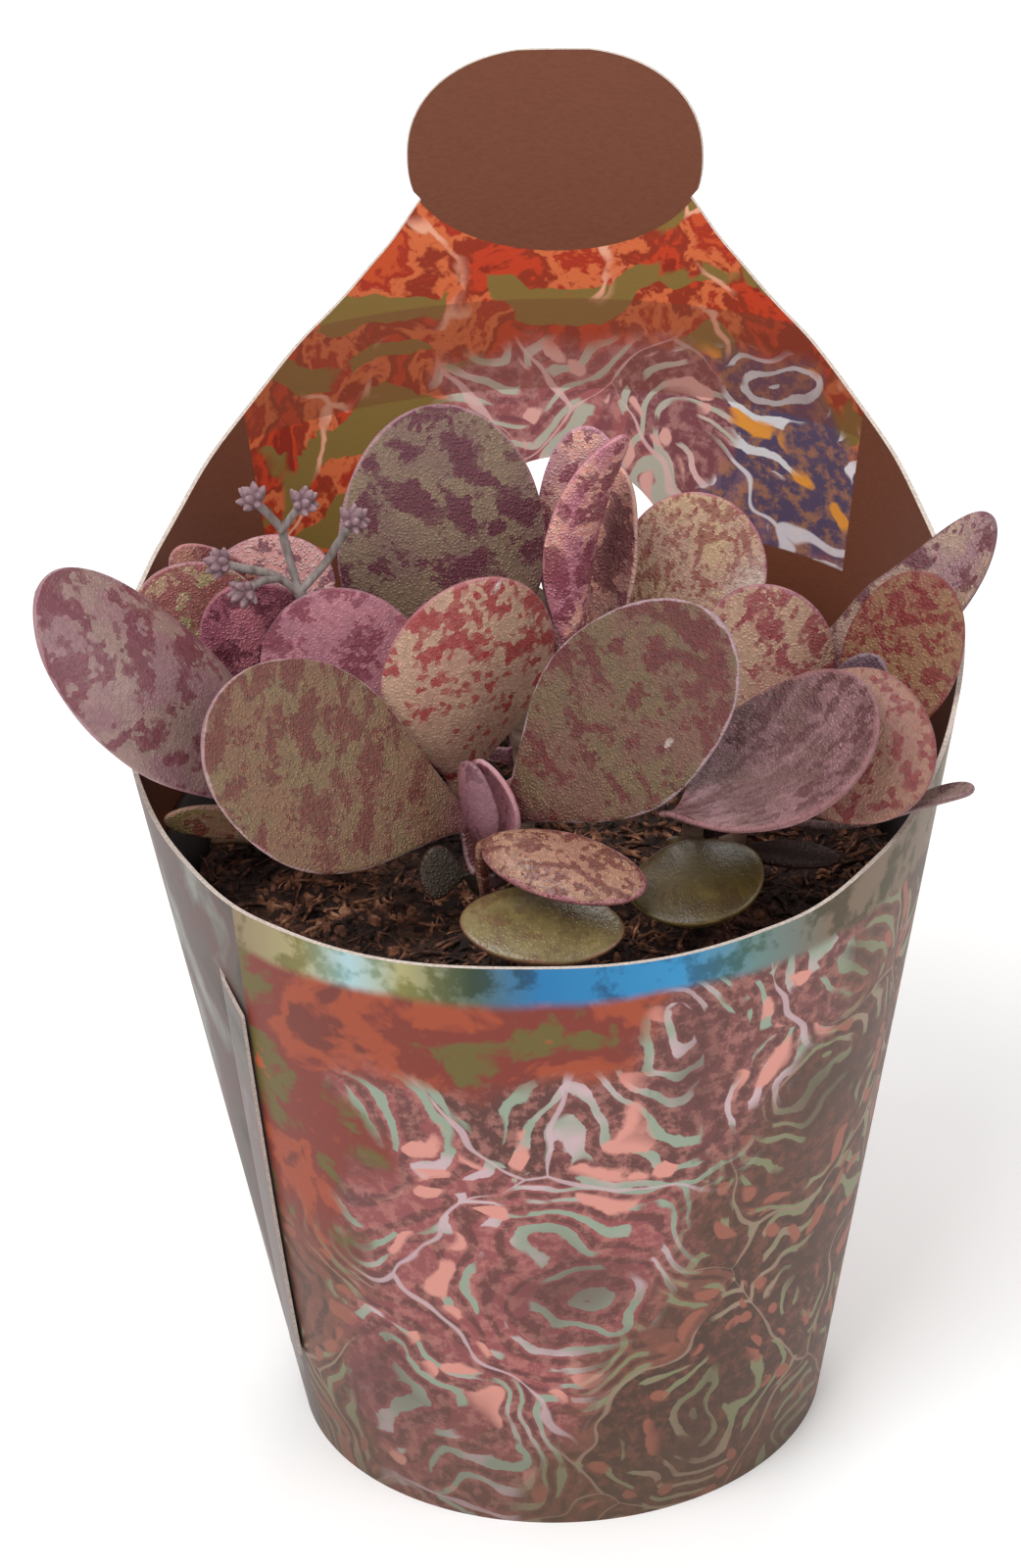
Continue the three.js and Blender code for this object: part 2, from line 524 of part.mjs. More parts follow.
// Rows of middle points down the leaf: the stalk's curve, then the arched blade
function leafRows(leaf) {
  const { arch, side, thick, stalk } = leaf;
  const root = vector(leaf.root);
  const tip = vector(leaf.tip);
  const length = root.distanceTo(tip);
  const bladeRows = leaf.width < LARGE ? BLADE_ROWS.small : BLADE_ROWS.large;
  const axis = tip.clone().sub(root).normalize();
  const face = facing(leaf.face);
  face.addScaledVector(axis, -face.dot(axis)).normalize();
  const across = axis.clone().cross(face);
  const rows = [];
  const curve = leaf.stem && stalkCurve(leaf, root, axis);
  for (let row = 0; curve && row < STALK_ROWS; row += 1) {
    const along = row / STALK_ROWS;
    const half = THREE.MathUtils.lerp(STALK.half, (stalk * leaf.width) / 2, along);
    const depth = thick + STALK.extra * (1 - along);
    rows.push({ centre: curve.getPoint(along), half, curl: 0, thick: depth, edge: STALK.edge });
  }
  // The blade's rows crowd together towards its round tip
  for (let row = 0; row <= bladeRows; row += 1) {
    const along = Math.sin((row / (bladeRows + 0.7)) * (Math.PI / 2)) ** 1.1;
    const centre = root.clone()
      .addScaledVector(axis, along * length)
      .addScaledVector(across, -side * Math.sin(Math.PI * along))
      .addScaledVector(face, arch * Math.sin(Math.PI * along));
    const half = (leaf.width / 2) * bladeOutline(along, leaf);
    const thin = 1 - TIP_THINNING * along;
    rows.push({ centre, half, curl: radians(leaf.curl), thick: thick * thin, edge: LEAF_EDGE });
  }
  // The face is carried back from the blade to the stem without twisting
  let normal = face;
  for (let row = rows.length - 1; row >= 0; row -= 1) {
    const ahead = rows[Math.min(row + 1, rows.length - 1)].centre;
    const behind = rows[Math.max(row - 1, 0)].centre;
    const run = ahead.clone().sub(behind).normalize();
    normal = normal.clone().addScaledVector(run, -normal.dot(run)).normalize();
    rows[row].normal = normal;
    rows[row].across = run.clone().cross(normal);
  }
  return rows;
}

function leafGeometry(shape) {
  const leaf = { ...BLADE, ...shape };
  const columns = leaf.width < LARGE ? LEAF_COLUMNS.small : LEAF_COLUMNS.large;
  const upper = [];
  const lower = [];
  leafRows(leaf).forEach(({ centre, half, curl, thick, edge, normal, across }) => {
    const bend = curl / (leaf.width / 2);
    const upperRow = [];
    const lowerRow = [];
    for (let column = 0; column <= columns; column += 1) {
      const over = (2 * column) / columns - 1;
      const arc = over * half;
      const out = bend > 1e-6 ? Math.sin(bend * arc) / bend : arc;
      const rise = bend > 1e-6 ? (1 - Math.cos(bend * arc)) / bend : 0;
      const middle = centre.clone().addScaledVector(across, out).addScaledVector(normal, rise);
      const up = normal.clone().multiplyScalar(Math.cos(bend * arc))
        .addScaledVector(across, -Math.sin(bend * arc));
      const fullness = Math.min(1, half / 4);
      const depth = edge + (Math.max(thick, edge) - edge) * (1 - over * over) * fullness;
      upperRow.push(middle.clone().addScaledVector(up, depth / 2).toArray());
      lowerRow.push(middle.clone().addScaledVector(up, -depth / 2).toArray());
    }
    upper.push(upperRow);
    lower.push(lowerRow);
  });
  return sheetBetween(upper, lower);
}

LEAVES.forEach((leaf) => place(leaf.name, leafGeometry(leaf), leaf.color, 0.5));

// The flower stalk: one stem that forks three times, with a tight bunch of buds on each end

const FORK = [-33.2, -2.2, 133.3];
// spread is how far the outer buds lean out, turn the angle from each bud to the next
const BUD = { length: 3.6, radius: 1.1, count: 7, spread: 78, turn: 137.5 };
const STALK_RADIUS = 0.85;
const BRANCH_RADIUS = 0.68;
const BRANCHES = [
  [FORK, [-35, -0.5, 140], [-35.5, -1, 142.8], [-38.4, -2.6, 147.4]],
  [[-35.4, -1, 142.3], [-33.8, -1.4, 144.5], [-32.3, -2, 146.6]],
  [FORK, [-29.5, -0.5, 137], [-27.6, -1, 140.1], [-25.2, -2.6, 144.2]],
  [FORK, [-36.3, -3.5, 136.5], [-40, -6.5, 139], [-42.6, -8, 140.4]],
  [[-36, -3.2, 136], [-38, -6, 136.8], [-39.6, -8.3, 136.6]],
];

function bunch(branch) {
  const end = vector(branch.at(-1));
  const ahead = end.clone().sub(vector(branch.at(-2))).normalize();
  const sideways = new THREE.Vector3(0, 0, 1).cross(ahead).normalize();
  const upwards = ahead.clone().cross(sideways);
  const buds = [];
  for (let index = 0; index < BUD.count; index += 1) {
    const spread = radians(BUD.spread) * Math.sqrt(index / BUD.count);
    const turn = radians(BUD.turn) * index;
    const way = ahead.clone().multiplyScalar(Math.cos(spread))
      .addScaledVector(sideways, Math.sin(spread) * Math.cos(turn))
      .addScaledVector(upwards, Math.sin(spread) * Math.sin(turn));
    const bud = new THREE.SphereGeometry(1, 5, 3);
    bud.scale(BUD.radius, BUD.length / 2, BUD.radius);
    bud.applyQuaternion(new THREE.Quaternion().setFromUnitVectors(new THREE.Vector3(0, 1, 0), way));
    const middle = end.clone().addScaledVector(way, BUD.length * 0.5);
    bud.translate(middle.x, middle.y, middle.z);
    buds.push(bud);
  }
  return buds;
}

const stalkFoot = [-28.8, 4.4, 115.9];
const stalkPath = [stalkFoot, [-27.2, 1.5, 120], [-29.2, -1.8, 126], FORK];
let stalk = solidOf(rod(stalkPath, Array(6).fill(STALK_RADIUS), 6));
BRANCHES.forEach((branch) => {
  stalk = stalk.add(solidOf(rod(branch, Array(4).fill(BRANCH_RADIUS), 5)));
  bunch(branch).forEach((bud) => { stalk = stalk.add(solidOf(bud)); });
});
place('flower_stalk', geometryOf(stalk), 0x968287, 0.7);

export default part;
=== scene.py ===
"""A succulent with blotched leaves in its nursery pot, inside a printed card cover. Metres, +Z up."""
import itertools
import math
from types import SimpleNamespace
import bpy
import numpy as np
from mathutils import Matrix, Vector, noise


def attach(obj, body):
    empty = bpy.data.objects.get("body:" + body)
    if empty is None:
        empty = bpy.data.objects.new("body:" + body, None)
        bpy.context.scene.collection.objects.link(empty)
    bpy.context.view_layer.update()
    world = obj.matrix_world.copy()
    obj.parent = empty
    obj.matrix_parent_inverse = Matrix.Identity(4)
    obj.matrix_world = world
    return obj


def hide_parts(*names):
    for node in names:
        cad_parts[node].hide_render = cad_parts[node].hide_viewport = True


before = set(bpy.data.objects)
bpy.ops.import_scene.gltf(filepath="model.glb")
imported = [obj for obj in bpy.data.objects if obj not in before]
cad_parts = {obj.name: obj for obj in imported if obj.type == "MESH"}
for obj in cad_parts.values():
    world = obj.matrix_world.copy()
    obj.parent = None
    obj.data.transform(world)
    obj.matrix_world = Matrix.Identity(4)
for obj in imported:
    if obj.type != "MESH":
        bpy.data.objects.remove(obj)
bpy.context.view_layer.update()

# The camera stands in front of the plant, a little to its right, and looks down on it.
# The picture is upright, 1042 by 1600, so the sensor's 36 mm lie along its height.
camera_turn = math.radians(5)
camera_fall = math.radians(27.69)
camera_roll = math.radians(-2.19)
camera_distance = 0.6357
camera_aim = Vector((-0.0045, -0.0004, 0.1019))

add_to_scene = bpy.context.scene.collection.objects.link
camera = bpy.data.objects.new("camera", bpy.data.cameras.new("camera"))
add_to_scene(camera)
camera.data.lens = 101.25
camera.data.clip_start = 0.01
towards = Vector((
    math.sin(camera_turn) * math.cos(camera_fall),
    -math.cos(camera_turn) * math.cos(camera_fall),
    math.sin(camera_fall),
))
level = Vector((math.cos(camera_turn), math.sin(camera_turn), 0))
upright = towards.cross(level)
right = level * math.cos(camera_roll) + upright * math.sin(camera_roll)
above = upright * math.cos(camera_roll) - level * math.sin(camera_roll)
axes = Matrix((right, above, towards)).transposed()
camera.matrix_world = Matrix.LocRotScale(camera_aim + towards * camera_distance, axes, None)
bpy.context.scene.camera = camera

# The light is a soft studio: a wide lamp high at the left of the camera, a weaker one at
# the right, one from behind to draw the rims, and a pale room all round.
bpy.context.scene.view_settings.view_transform = "Standard"
room = bpy.data.worlds.new("pale_room")
bpy.context.scene.world = room
room.use_nodes = True
room_light = room.node_tree.nodes["Background"].inputs
room_light["Color"].default_value = (1.0, 0.99, 0.98, 1)
room_light["Strength"].default_value = 0.62
for name, place, size, watts in (
    ("lamp_left", (-0.45, -0.75, 1.45), 0.9, 17),
    ("lamp_right", (0.95, -0.60, 0.75), 0.8, 4),
    ("lamp_behind", (0.10, 0.95, 1.10), 0.7, 5),
):
    lamp = bpy.data.lights.new(name, "AREA")
    lamp.size = size
    lamp.energy = watts
    holder = bpy.data.objects.new(name, lamp)
    holder.location = place
    holder.rotation_euler = (camera_aim - Vector(place)).to_track_quat("-Z", "Y").to_euler()
    add_to_scene(holder)

# The floor is a plain pale sheet that runs out of the picture on every side.
floor_reach = 3.0


def mesh_piece(name, points, faces, edges=()):
    """A new piece from lists of points and faces, with its place in its mesh."""
    mesh = bpy.data.meshes.new(name)
    mesh.from_pydata([tuple(point) for point in points], edges, [tuple(face) for face in faces])
    mesh.shade_smooth()
    piece = bpy.data.objects.new(name, mesh)
    add_to_scene(piece)
    return piece


def tint(red, green, blue):
    """A colour read off the object as 0 to 255, as the shader's linear light."""
    def linear(value):
        value /= 255
        return value / 12.92 if value <= 0.04045 else ((value + 0.055) / 1.055) ** 2.4
    return (linear(red), linear(green), linear(blue), 1)


class Wire:
    """An output of a node. Reckoning with it as with a number adds a node to its tree."""

    def __init__(self, tree, socket):
        self.tree = tree
        self.socket = socket

    def __getitem__(self, name):
        """Another output of the same node."""
        return Wire(self.tree, self.socket.node.outputs[name])

    def __add__(self, other):
        return self.tree.math("ADD", self, other)

    def __sub__(self, other):
        return self.tree.math("SUBTRACT", self, other)

    def __mul__(self, other):
        return self.tree.math("MULTIPLY", self, other)

    def __truediv__(self, other):
        return self.tree.math("DIVIDE", self, other)

    def __pow__(self, other):
        return self.tree.math("POWER", self, other)

    def parts(self):
        """The three parts of a place or a colour."""
        split = self.tree.node("SeparateXYZ", {0: self})
        return split["X"], split["Y"], split["Z"]

    def step(self, low, high):
        """0 below low, 1 above high, smooth between. Low may be the greater of the two."""
        inputs = {"Value": self, "From Min": low, "From Max": high}
        return self.tree.node("MapRange", inputs, interpolation_type="SMOOTHSTEP")


class Tree:
    """Nodes as they are wired: each call adds one and gives the wire of its first output."""

    def __init__(self, tree, *groups):
        self.nodes = tree.nodes
        self.links = tree.links
        self.groups = groups

    def feed(self, socket, value):
        """Joins wires to a socket or sets its value. A colour's numbers run from 0 to 255."""
        if isinstance(value, list):
            for one in value:
                self.feed(socket, one)
        elif isinstance(value, Wire):
            self.links.new(value.socket, socket)
        else:
            socket.default_value = tint(*value) if socket.type == "RGBA" else value

    def node(self, kind, inputs=(), **settings):
        """A node by its kind, without the group that its full name starts with."""
        group = next(group for group in self.groups if hasattr(bpy.types, group + kind))
        made = self.nodes.new(group + kind)
        for key, value in settings.items():
            setattr(made, key, value)
        for socket, value in dict(inputs).items():
            self.feed(made.inputs[socket], value)
        return Wire(self, made.outputs[0])

    def math(self, how, *values):
        return self.node("Math", dict(enumerate(values)), operation=how)

    def vector(self, how, *values):
        return self.node("VectorMath", dict(enumerate(values)), operation=how)

    def most(self, first, *others):
        for other in others:
            first = self.math("MAXIMUM", first, other)
        return first


class Finish(Tree):
    """A procedural material as it is mixed."""

    def __init__(self, name, roughness, skin=()):
        self.material = bpy.data.materials.new(name)
        self.material.use_nodes = True
        super().__init__(self.material.node_tree, "ShaderNode")
        self.skin = self.nodes["Principled BSDF"].inputs
        for socket, value in {"Roughness": roughness, **dict(skin)}.items():
            self.skin[socket].default_value = value

    def place(self):
        """The point on the piece, in metres from the object's own origin."""
        return self.node("TexCoord")["Object"]

    def attribute(self, name, part="Vector"):
        return self.node("Attribute", attribute_name=name)[part]

    def stretch(self, where, scale=(1, 1, 1), shift=(0, 0, 0)):
        return self.node("Mapping", {"Vector": where, "Scale": scale, "Location": shift})

    def noise(self, where, scale, detail=3.0, rough=0.5):
        inputs = {"Vector": where, "Scale": scale, "Detail": detail, "Roughness": rough}
        return self.node("TexNoise", inputs)

    def cells(self, where, scale, spread=1.0, **settings):
        inputs = {"Vector": where, "Scale": scale, "Randomness": spread}
        return self.node("TexVoronoi", inputs, **settings)

    def warp(self, where, scale, reach, detail=2.0):
        """The same place, pushed about by a noise, so that what is drawn there flows."""
        push = self.vector("SUBTRACT", self.noise(where, scale, detail)["Color"], (0.5, 0.5, 0.5))
        return self.vector("MULTIPLY_ADD", push, (reach, reach, reach), where)

    def blend(self, amount, under, over, how="MIX"):
        inputs = {0: amount, 6: under, 7: over}
        return self.node("Mix", inputs, data_type="RGBA", blend_type=how)[2]

    def ramp(self, value, *stops):
        """The value's place between the stops, each a value and a colour."""
        colours = self.node("ValToRGB", {"Fac": value})
        elements = colours.socket.node.color_ramp.elements
        while len(elements) < len(stops):
            elements.new(0.5)
        for element, (position, colour) in zip(elements, stops):
            element.position = position
            element.color = tint(*colour)
        return colours

    def paint(self, colour, height=None, depth=0.0):
        """Gives the skin its colour, and raises it by the height times the depth, in metres."""
        self.feed(self.skin["Base Color"], colour)
        if height:
            raised = self.node("Bump", {"Height": height, "Distance": depth, "Strength": 1.0})
            self.feed(self.skin["Normal"], raised)


corners = [(x * floor_reach, y * floor_reach, 0) for x, y in ((-1, -1), (1, -1), (1, 1), (-1, 1))]
floor = mesh_piece("floor", corners, [(0, 1, 2, 3)])
floor_paint = Finish("pale_floor", 0.8)
floor_paint.paint(floor_paint.ramp(
    floor_paint.noise(floor_paint.place(), 3, 2), (0.3, (250, 250, 250)), (0.7, (253, 253, 253))))
floor.data.materials.append(floor_paint.material)

# The cover is one sheet of printed card, cut out, rolled into a cone and glued down one
# side. Its back stands up as a curved display panel that ends in a bare oval plate, and
# a round hole is punched through the panel.
card = 0.0007
foot_radius = 0.0398
flare = 0.169
neck_angle, neck_height = 17.5, 0.1672
# The rim from the front to the neck: degrees from the middle of the back, and height
rim_points = (
    (180, 0.1042), (146, 0.1042), (125, 0.1070), (105, 0.1135), (87, 0.1230),
    (72, 0.1276), (54, 0.1372), (36, 0.1495), (24, 0.1593), (neck_angle, neck_height),
)
plate_width, plate_height, plate_middle = 0.0454, 0.0302, 0.1734
plate_fullness = 2.3              # 2 is an ellipse, more is squarer
plate_top = plate_middle + plate_height / 2 - 0.00025    # where its outline is closed
hole_radius, hole_height = 0.0177, 0.109
card_columns, neck_columns, wall_rows, plate_rows = 420, 48, 8, 26


def cone_radius(height):
    return foot_radius + flare * height


def on_cone(angle, height, inwards=0.0):
    """A point of the card, at degrees round from the middle of the back over -X."""
    turn = math.radians(angle)
    radius = cone_radius(height) - inwards
    return (-radius * math.sin(turn), radius * math.cos(turn), height)


def rim_height(angle):
    """A smooth curve through the points of the rim."""
    away = 180 - abs(180 - angle)
    points = rim_points[::-1]

    def slope(index):
        before, after = points[max(index - 1, 0)], points[min(index + 1, len(points) - 1)]
        return (after[1] - before[1]) / (after[0] - before[0])

    index = max(index for index, point in enumerate(points[:-1]) if index == 0 or point[0] < away)
    (low, start), (high, end) = points[index], points[index + 1]
    along = (away - low) / (high - low)
    start += slope(index) * (high - low) * along
    end -= slope(index + 1) * (high - low) * (1 - along)
    ease = along * along * (3 - 2 * along)
    return start * (1 - ease) + end * ease


def plate_half_angle(height):
    offset = min(abs(height - plate_middle) / (plate_height / 2), 1)
    half = plate_width / 2 * (1 - offset ** plate_fullness) ** (1 / plate_fullness)
    return math.degrees(half / cone_radius(height))


def wall_column(angle, height):
    return [(angle, height * row / wall_rows) for row in range(wall_rows + 1)]


OUTSIDE, INSIDE, CUT = range(3)


def layer_of_card(columns, place, closed):
    """A closed body from columns of spots: outer face, inner face and the cut edge between."""
    number, spots = {}, []
    for column, here in enumerate(columns):
        for row, spot in enumerate(here):
            number[column, row] = len(spots)
            spots.append(spot)
    outer = []
    for column in range(len(columns) - (not closed)):
        beside = (column + 1) % len(columns)
        for row in range(min(len(columns[column]), len(columns[beside])) - 1):
            ring = ((column, row), (beside, row), (beside, row + 1), (column, row + 1))
            outer.append([number[corner] for corner in ring])
    sides = [side for face in outer for side in zip(face, face[1:] + face[:1])]
    paired = set(sides)
    border = [side for side in sides if side[::-1] not in paired]
    inner = [[corner + len(spots) for corner in face[::-1]] for face in outer]
    edge = [(start, start + len(spots), end + len(spots), end) for start, end in border]
    points = [place(*spot, inside) for inside in (False, True) for spot in spots]
    kinds = [OUTSIDE] * len(outer) + [INSIDE] * len(inner) + [CUT] * len(edge)
    return points, outer + inner + edge, kinds


cover_columns = []
for step in range(neck_columns + 1):
    across = 2 * step / neck_columns - 1
    column = wall_column(across * neck_angle, neck_height)
    for row in range(1, plate_rows + 1):
        height = neck_height + (plate_top - neck_height) * math.sin(math.pi / 2 * row / plate_rows)
        column.append((across * plate_half_angle(height), height))
    cover_columns.append(column)
for step in range(1, card_columns):
    angle = neck_angle + (360 - 2 * neck_angle) * step / card_columns
    cover_columns.append(wall_column(angle, rim_height(angle)))
cover_points, cover_faces, cover_kinds = layer_of_card(
    cover_columns, lambda angle, height, inner: on_cone(angle, height, card if inner else 0), closed=True)
cover = mesh_piece("cover_card", cover_points, cover_faces)

# The print on the outside is a generic pattern of cut agates: mauve rings with broken mint
# bands and coral beads in the middle, rust and orange at the left, dusk at the lower right.
# A narrow band under the front rim runs from cream through teal to blue, and the card's
# other end, left of the seam, is printed grey. Round the back the board stays plain.
# The numbers on noise and cells are so many per metre, and those on steps are metres.
print_cells = 26                  # agates per metre
rim_band = 0.0056                 # height of the coloured band along the front rim
grey_from = -0.0438               # the grey end of the card, from the middle of the front
print_half_turn = math.radians(108)
print_shine = {"Specular IOR Level": 0.3}


def agates(finish, where, scale, *, ground, shade, band, bead, lip, rings=58):
    """Overlapping round cells with broken bands inside, beads near the edge and a pale lip."""
    flow = finish.warp(where, 42, 0.026)
    cells = finish.cells(flow, scale, voronoi_dimensions="2D")
    border = finish.cells(flow, scale, feature="DISTANCE_TO_EDGE", voronoi_dimensions="2D")
    ragged = finish.noise(where, 260, 4, 0.6)
    ring = cells + finish.noise(flow, 38, 2) * 0.55 + ragged * 0.05
    wave = finish.math("SINE", ring * rings)
    gate = finish.noise(finish.stretch(flow, shift=(4, 7, 1)), 85, 2)
    base = finish.blend(cells["Color"].parts()[0].step(0.3, 0.7), ground, shade)
    base = finish.blend(wave.step(-0.2, -0.7) * 0.75, base, shade)
    worn = finish.noise(where, 420, 4, 0.7)
    base = finish.blend(worn.step(0.45, 0.62) * 0.35, base, bead)
    wash = finish.noise(finish.stretch(where, shift=(1, 9, 3)), 70)
    banded = finish.blend(wash.step(0.48, 0.64), band, lip)
    base = finish.blend(wave.step(0.35, 0.60) * gate.step(0.46, 0.50), base, banded)
    spots = finish.cells(flow, scale * 6.5, voronoi_dimensions="2D")
    drop = (spots + ragged * 0.5).step(0.66, 0.54) * spots["Color"].parts()[1].step(0.50, 0.54)
    near = border.step(0.04, 0.07) * border.step(0.26, 0.18)
    base = finish.blend(drop * near, base, bead)
    base = finish.blend(border.step(0.22, 0.50) * 0.7, base, shade)
    thin = finish.noise(where, 90, 2) * 0.05 + -0.016
    return finish.blend((border - thin).step(0.004, -0.004) * 0.8, base, lip)


def clouds(finish, where, scale, *colours):
    """Broad soft patches, each colour in its turn, with ragged edges."""
    drift = finish.noise(finish.warp(where, 40, 0.02), scale, 5, 0.62)
    stops = []
    for index, colour in enumerate(colours):
        middle = 0.32 + 0.36 * (index + 0.5) / len(colours)
        stops += [(middle + side * 0.10 / len(colours), colour) for side in (-1, 1)]
    return finish.ramp(drift, *stops)


def grey_print(finish, where):
    """Smoky grey with faint mauve and pale streaks that run down the card."""
    streaks = finish.noise(finish.stretch(finish.warp(where, 30, 0.02), (1, 1, 0.35)), 90, 4, 0.6)
    return finish.ramp(
        streaks, (0.30, (66, 56, 52)), (0.44, (92, 82, 76)), (0.52, (98, 74, 72)),
        (0.58, (108, 102, 96)), (0.68, (140, 138, 132)))


outside = Finish("print_outside", 0.5, print_shine)
place = outside.place()
x, y, z = place.parts()
around = outside.math("ARCTAN2", x, y * -1)
arc = around * (z * flare + foot_radius)
unrolled = outside.node("CombineXYZ", {"X": arc, "Y": z})
mauves = agates(
    outside, unrolled, print_cells, ground=(134, 71, 72), shade=(86, 51, 47), band=(136, 148, 130),
    bead=(200, 136, 124), lip=(186, 160, 164))
dusks = agates(
    outside, unrolled, print_cells * 1.3, ground=(108, 68, 55), shade=(71, 49, 38),
    band=(118, 118, 88), bead=(140, 84, 68), lip=(140, 118, 100))
rust = clouds(
    outside, place, 36, (108, 44, 32), (150, 66, 38), (118, 46, 34), (98, 84, 38), (168, 78, 44))
ragged = outside.noise(place, 46, 4) * 0.030
up = z + ragged
east = x + ragged
rust = outside.blend(up.step(0.072, 0.056), rust, dusks)
picture = outside.blend(east.step(-0.010, -0.006), rust, mauves)
picture = outside.blend((east + z * -0.55).step(0.004, 0.012), picture, dusks)
picture = outside.blend(up.step(0.098, 0.104) * east.step(0.036, 0.030), picture, rust)
# The card darkens towards its foot: painted shade.
picture = outside.blend(up.step(0.044, 0.018) * 0.45, picture, (84, 66, 50))
band_colours = outside.ramp(
    arc * 9 + 0.5, (0.10, (132, 112, 84)), (0.22, (158, 148, 104)), (0.29, (160, 190, 196)),
    (0.36, (160, 152, 104)), (0.45, (74, 92, 84)), (0.53, (24, 108, 160)), (0.70, (40, 130, 178)),
    (0.80, (92, 122, 120)), (0.92, (110, 92, 74)))
mottle = outside.noise(place, 150, 4, 0.6).step(0.50, 0.62)
band_colours = outside.blend(mottle, band_colours, (104, 112, 84), "SOFT_LIGHT")
band_low = rim_points[0][1] - rim_band
in_band = (z + outside.noise(place, 50) * 0.004).step(band_low, band_low + 0.0022)
picture = outside.blend(in_band * y.step(0.010, -0.010), picture, band_colours)
grey_end = arc.step(grey_from + 0.0002, grey_from - 0.0002)
picture = outside.blend(grey_end, picture, grey_print(outside, place))
plain_back = outside.math("ABSOLUTE", around).step(print_half_turn, print_half_turn + 0.004)
board = outside.ramp(outside.noise(place, 900, 3, 0.6), (0.3, (112, 62, 44)), (0.7, (120, 69, 49)))
outside.paint(outside.blend(plain_back, picture, board), outside.noise(place, 1500), 0.00002)

# The print on the inside covers the middle of the display panel: orange and rust clouds
# striped with olive, mauve agates low down and lilac ones at the right. A darker see-through
# band crosses it below the plate. Its sides and the plate stay bare board.
print_side = math.tan(math.radians(47))
print_bottom = 0.117
veil_low, veil_high = 0.1372, 0.1512

inside = Finish("print_inside", 0.5, print_shine)
place = inside.place()
x, y, z = place.parts()
fibres = inside.noise(inside.stretch(place, (1, 1, 3)), 900, 4, 0.65)
board = inside.ramp(fibres, (0.30, (103, 56, 37)), (0.70, (113, 64, 43)))
fire = clouds(
    inside, place, 70,
    (138, 36, 16), (188, 58, 26), (144, 46, 22), (204, 102, 58), (164, 46, 22), (194, 76, 34))
flow = inside.warp(inside.warp(place, 30, 0.035, 3), 240, 0.003)
waves = {"Vector": flow, "Scale": 25, "Distortion": 8, "Detail": 2, "Detail Scale": 1.1}
stripes = inside.node("TexWave", waves, wave_type="BANDS", bands_direction="Z")["Fac"].step(0.56, 0.62)
gaps = inside.noise(inside.stretch(flow, shift=(2, 5, 3)), 60, 2).step(0.44, 0.47)
fire = inside.blend(stripes * gaps, fire, (128, 102, 48))
veins = inside.cells(flow, 44, feature="DISTANCE_TO_EDGE").step(0.035, 0.01)
fire = inside.blend(veins * inside.noise(place, 70, 2).step(0.46, 0.56), fire, (226, 160, 132))
upright_face = inside.node("CombineXYZ", {"X": x, "Y": z})
mauves = agates(
    inside, upright_face, 34, ground=(168, 96, 96), shade=(128, 74, 80), band=(184, 180, 164),
    bead=(226, 170, 160), lip=(226, 184, 180), rings=44)
lilacs = agates(
    inside, upright_face, 30, ground=(122, 92, 112), shade=(84, 70, 96), band=(214, 212, 214),
    bead=(226, 150, 60), lip=(230, 222, 226), rings=60)
ragged = inside.noise(place, 40, 4) * 0.036
low = (z + ragged).step(0.166, 0.160)
east = x + ragged
picture = inside.blend(low * (east.step(0.000, 0.004) * east.step(0.042, 0.039)), fire, mauves)
picture = inside.blend(low * (east.step(0.039, 0.041) * east.step(0.060, 0.057)), picture, lilacs)
veil = z.step(veil_low, veil_low + 0.0003) * z.step(veil_high, veil_high - 0.0003)
picture = inside.blend(veil * 0.48, picture, (112, 58, 38))
beside = inside.math("ABSOLUTE", x / y).step(print_side, print_side + 0.004)
plate_reach = (x / (plate_width / 2)) ** 2 + ((z - plate_middle) / (plate_height / 2)) ** 2
bare = inside.most(
    beside, y.step(0.012, 0.010), z.step(print_bottom, print_bottom - 0.0004),
    plate_reach.step(1.01, 0.99), z.step(plate_middle - 0.001, plate_middle))
inside.paint(inside.blend(bare, picture, board), fibres, 0.00003)

# The cut edge shows the pale core of the board. The hole is punched last.
cut = Finish("card_cut", 0.85)
cut.paint(cut.ramp(cut.noise(cut.place(), 2500), (0.35, (176, 160, 150)), (0.65, (206, 194, 184))))


def faced(piece, kinds, *finishes):
    """Gives each face of a piece the finish of its kind."""
    for finish in finishes:
        piece.data.materials.append(finish.material)
    piece.data.polygons.foreach_set("material_index", kinds)


def plain_mesh(piece):
    """Turns the piece and its modifiers into one plain mesh."""
    bpy.context.view_layer.update()
    made = bpy.data.meshes.new_from_object(piece.evaluated_get(bpy.context.evaluated_depsgraph_get()))
    for index in reversed(range(len(made.materials))):
        if made.materials[index] is None:
            made.materials.pop(index=index)
    piece.modifiers.clear()
    piece.data = made


def finished(piece, node, sharp=None):
    """Hands a finished piece over: it stands for its node and rides with the whole plant."""
    if sharp:
        piece.data.set_sharp_from_angle(angle=math.radians(sharp))
    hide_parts(node)
    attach(piece, "root")


faced(cover, cover_kinds, outside, inside, cut)
bpy.ops.mesh.primitive_cylinder_add(
    vertices=128, radius=hole_radius, depth=0.03, location=(0, cone_radius(hole_height), hole_height),
    rotation=(math.pi / 2, 0, 0),
)
punch = bpy.context.object
punch.data.materials.append(cut.material)
bite = cover.modifiers.new("hole", "BOOLEAN")
bite.object = punch
bite.solver = "EXACT"
bite.material_mode = "TRANSFER"
plain_mesh(cover)
bpy.data.objects.remove(punch)
finished(cover, "card_cover", sharp=40)

# The glue tab of the side seam is the card's own end, lapped over the outside and pressed
# down. Its free edge has sprung open by a millimetre.
tab_fold, tab_edge = 0.0495, 0.0438    # along the card from the middle of the front
tab_low, tab_high, tab_corner = 0.017, 0.091, 0.085
tab_lift = 0.0011
tab_card = 0.00055
tab_steps, tab_rows = 16, 24


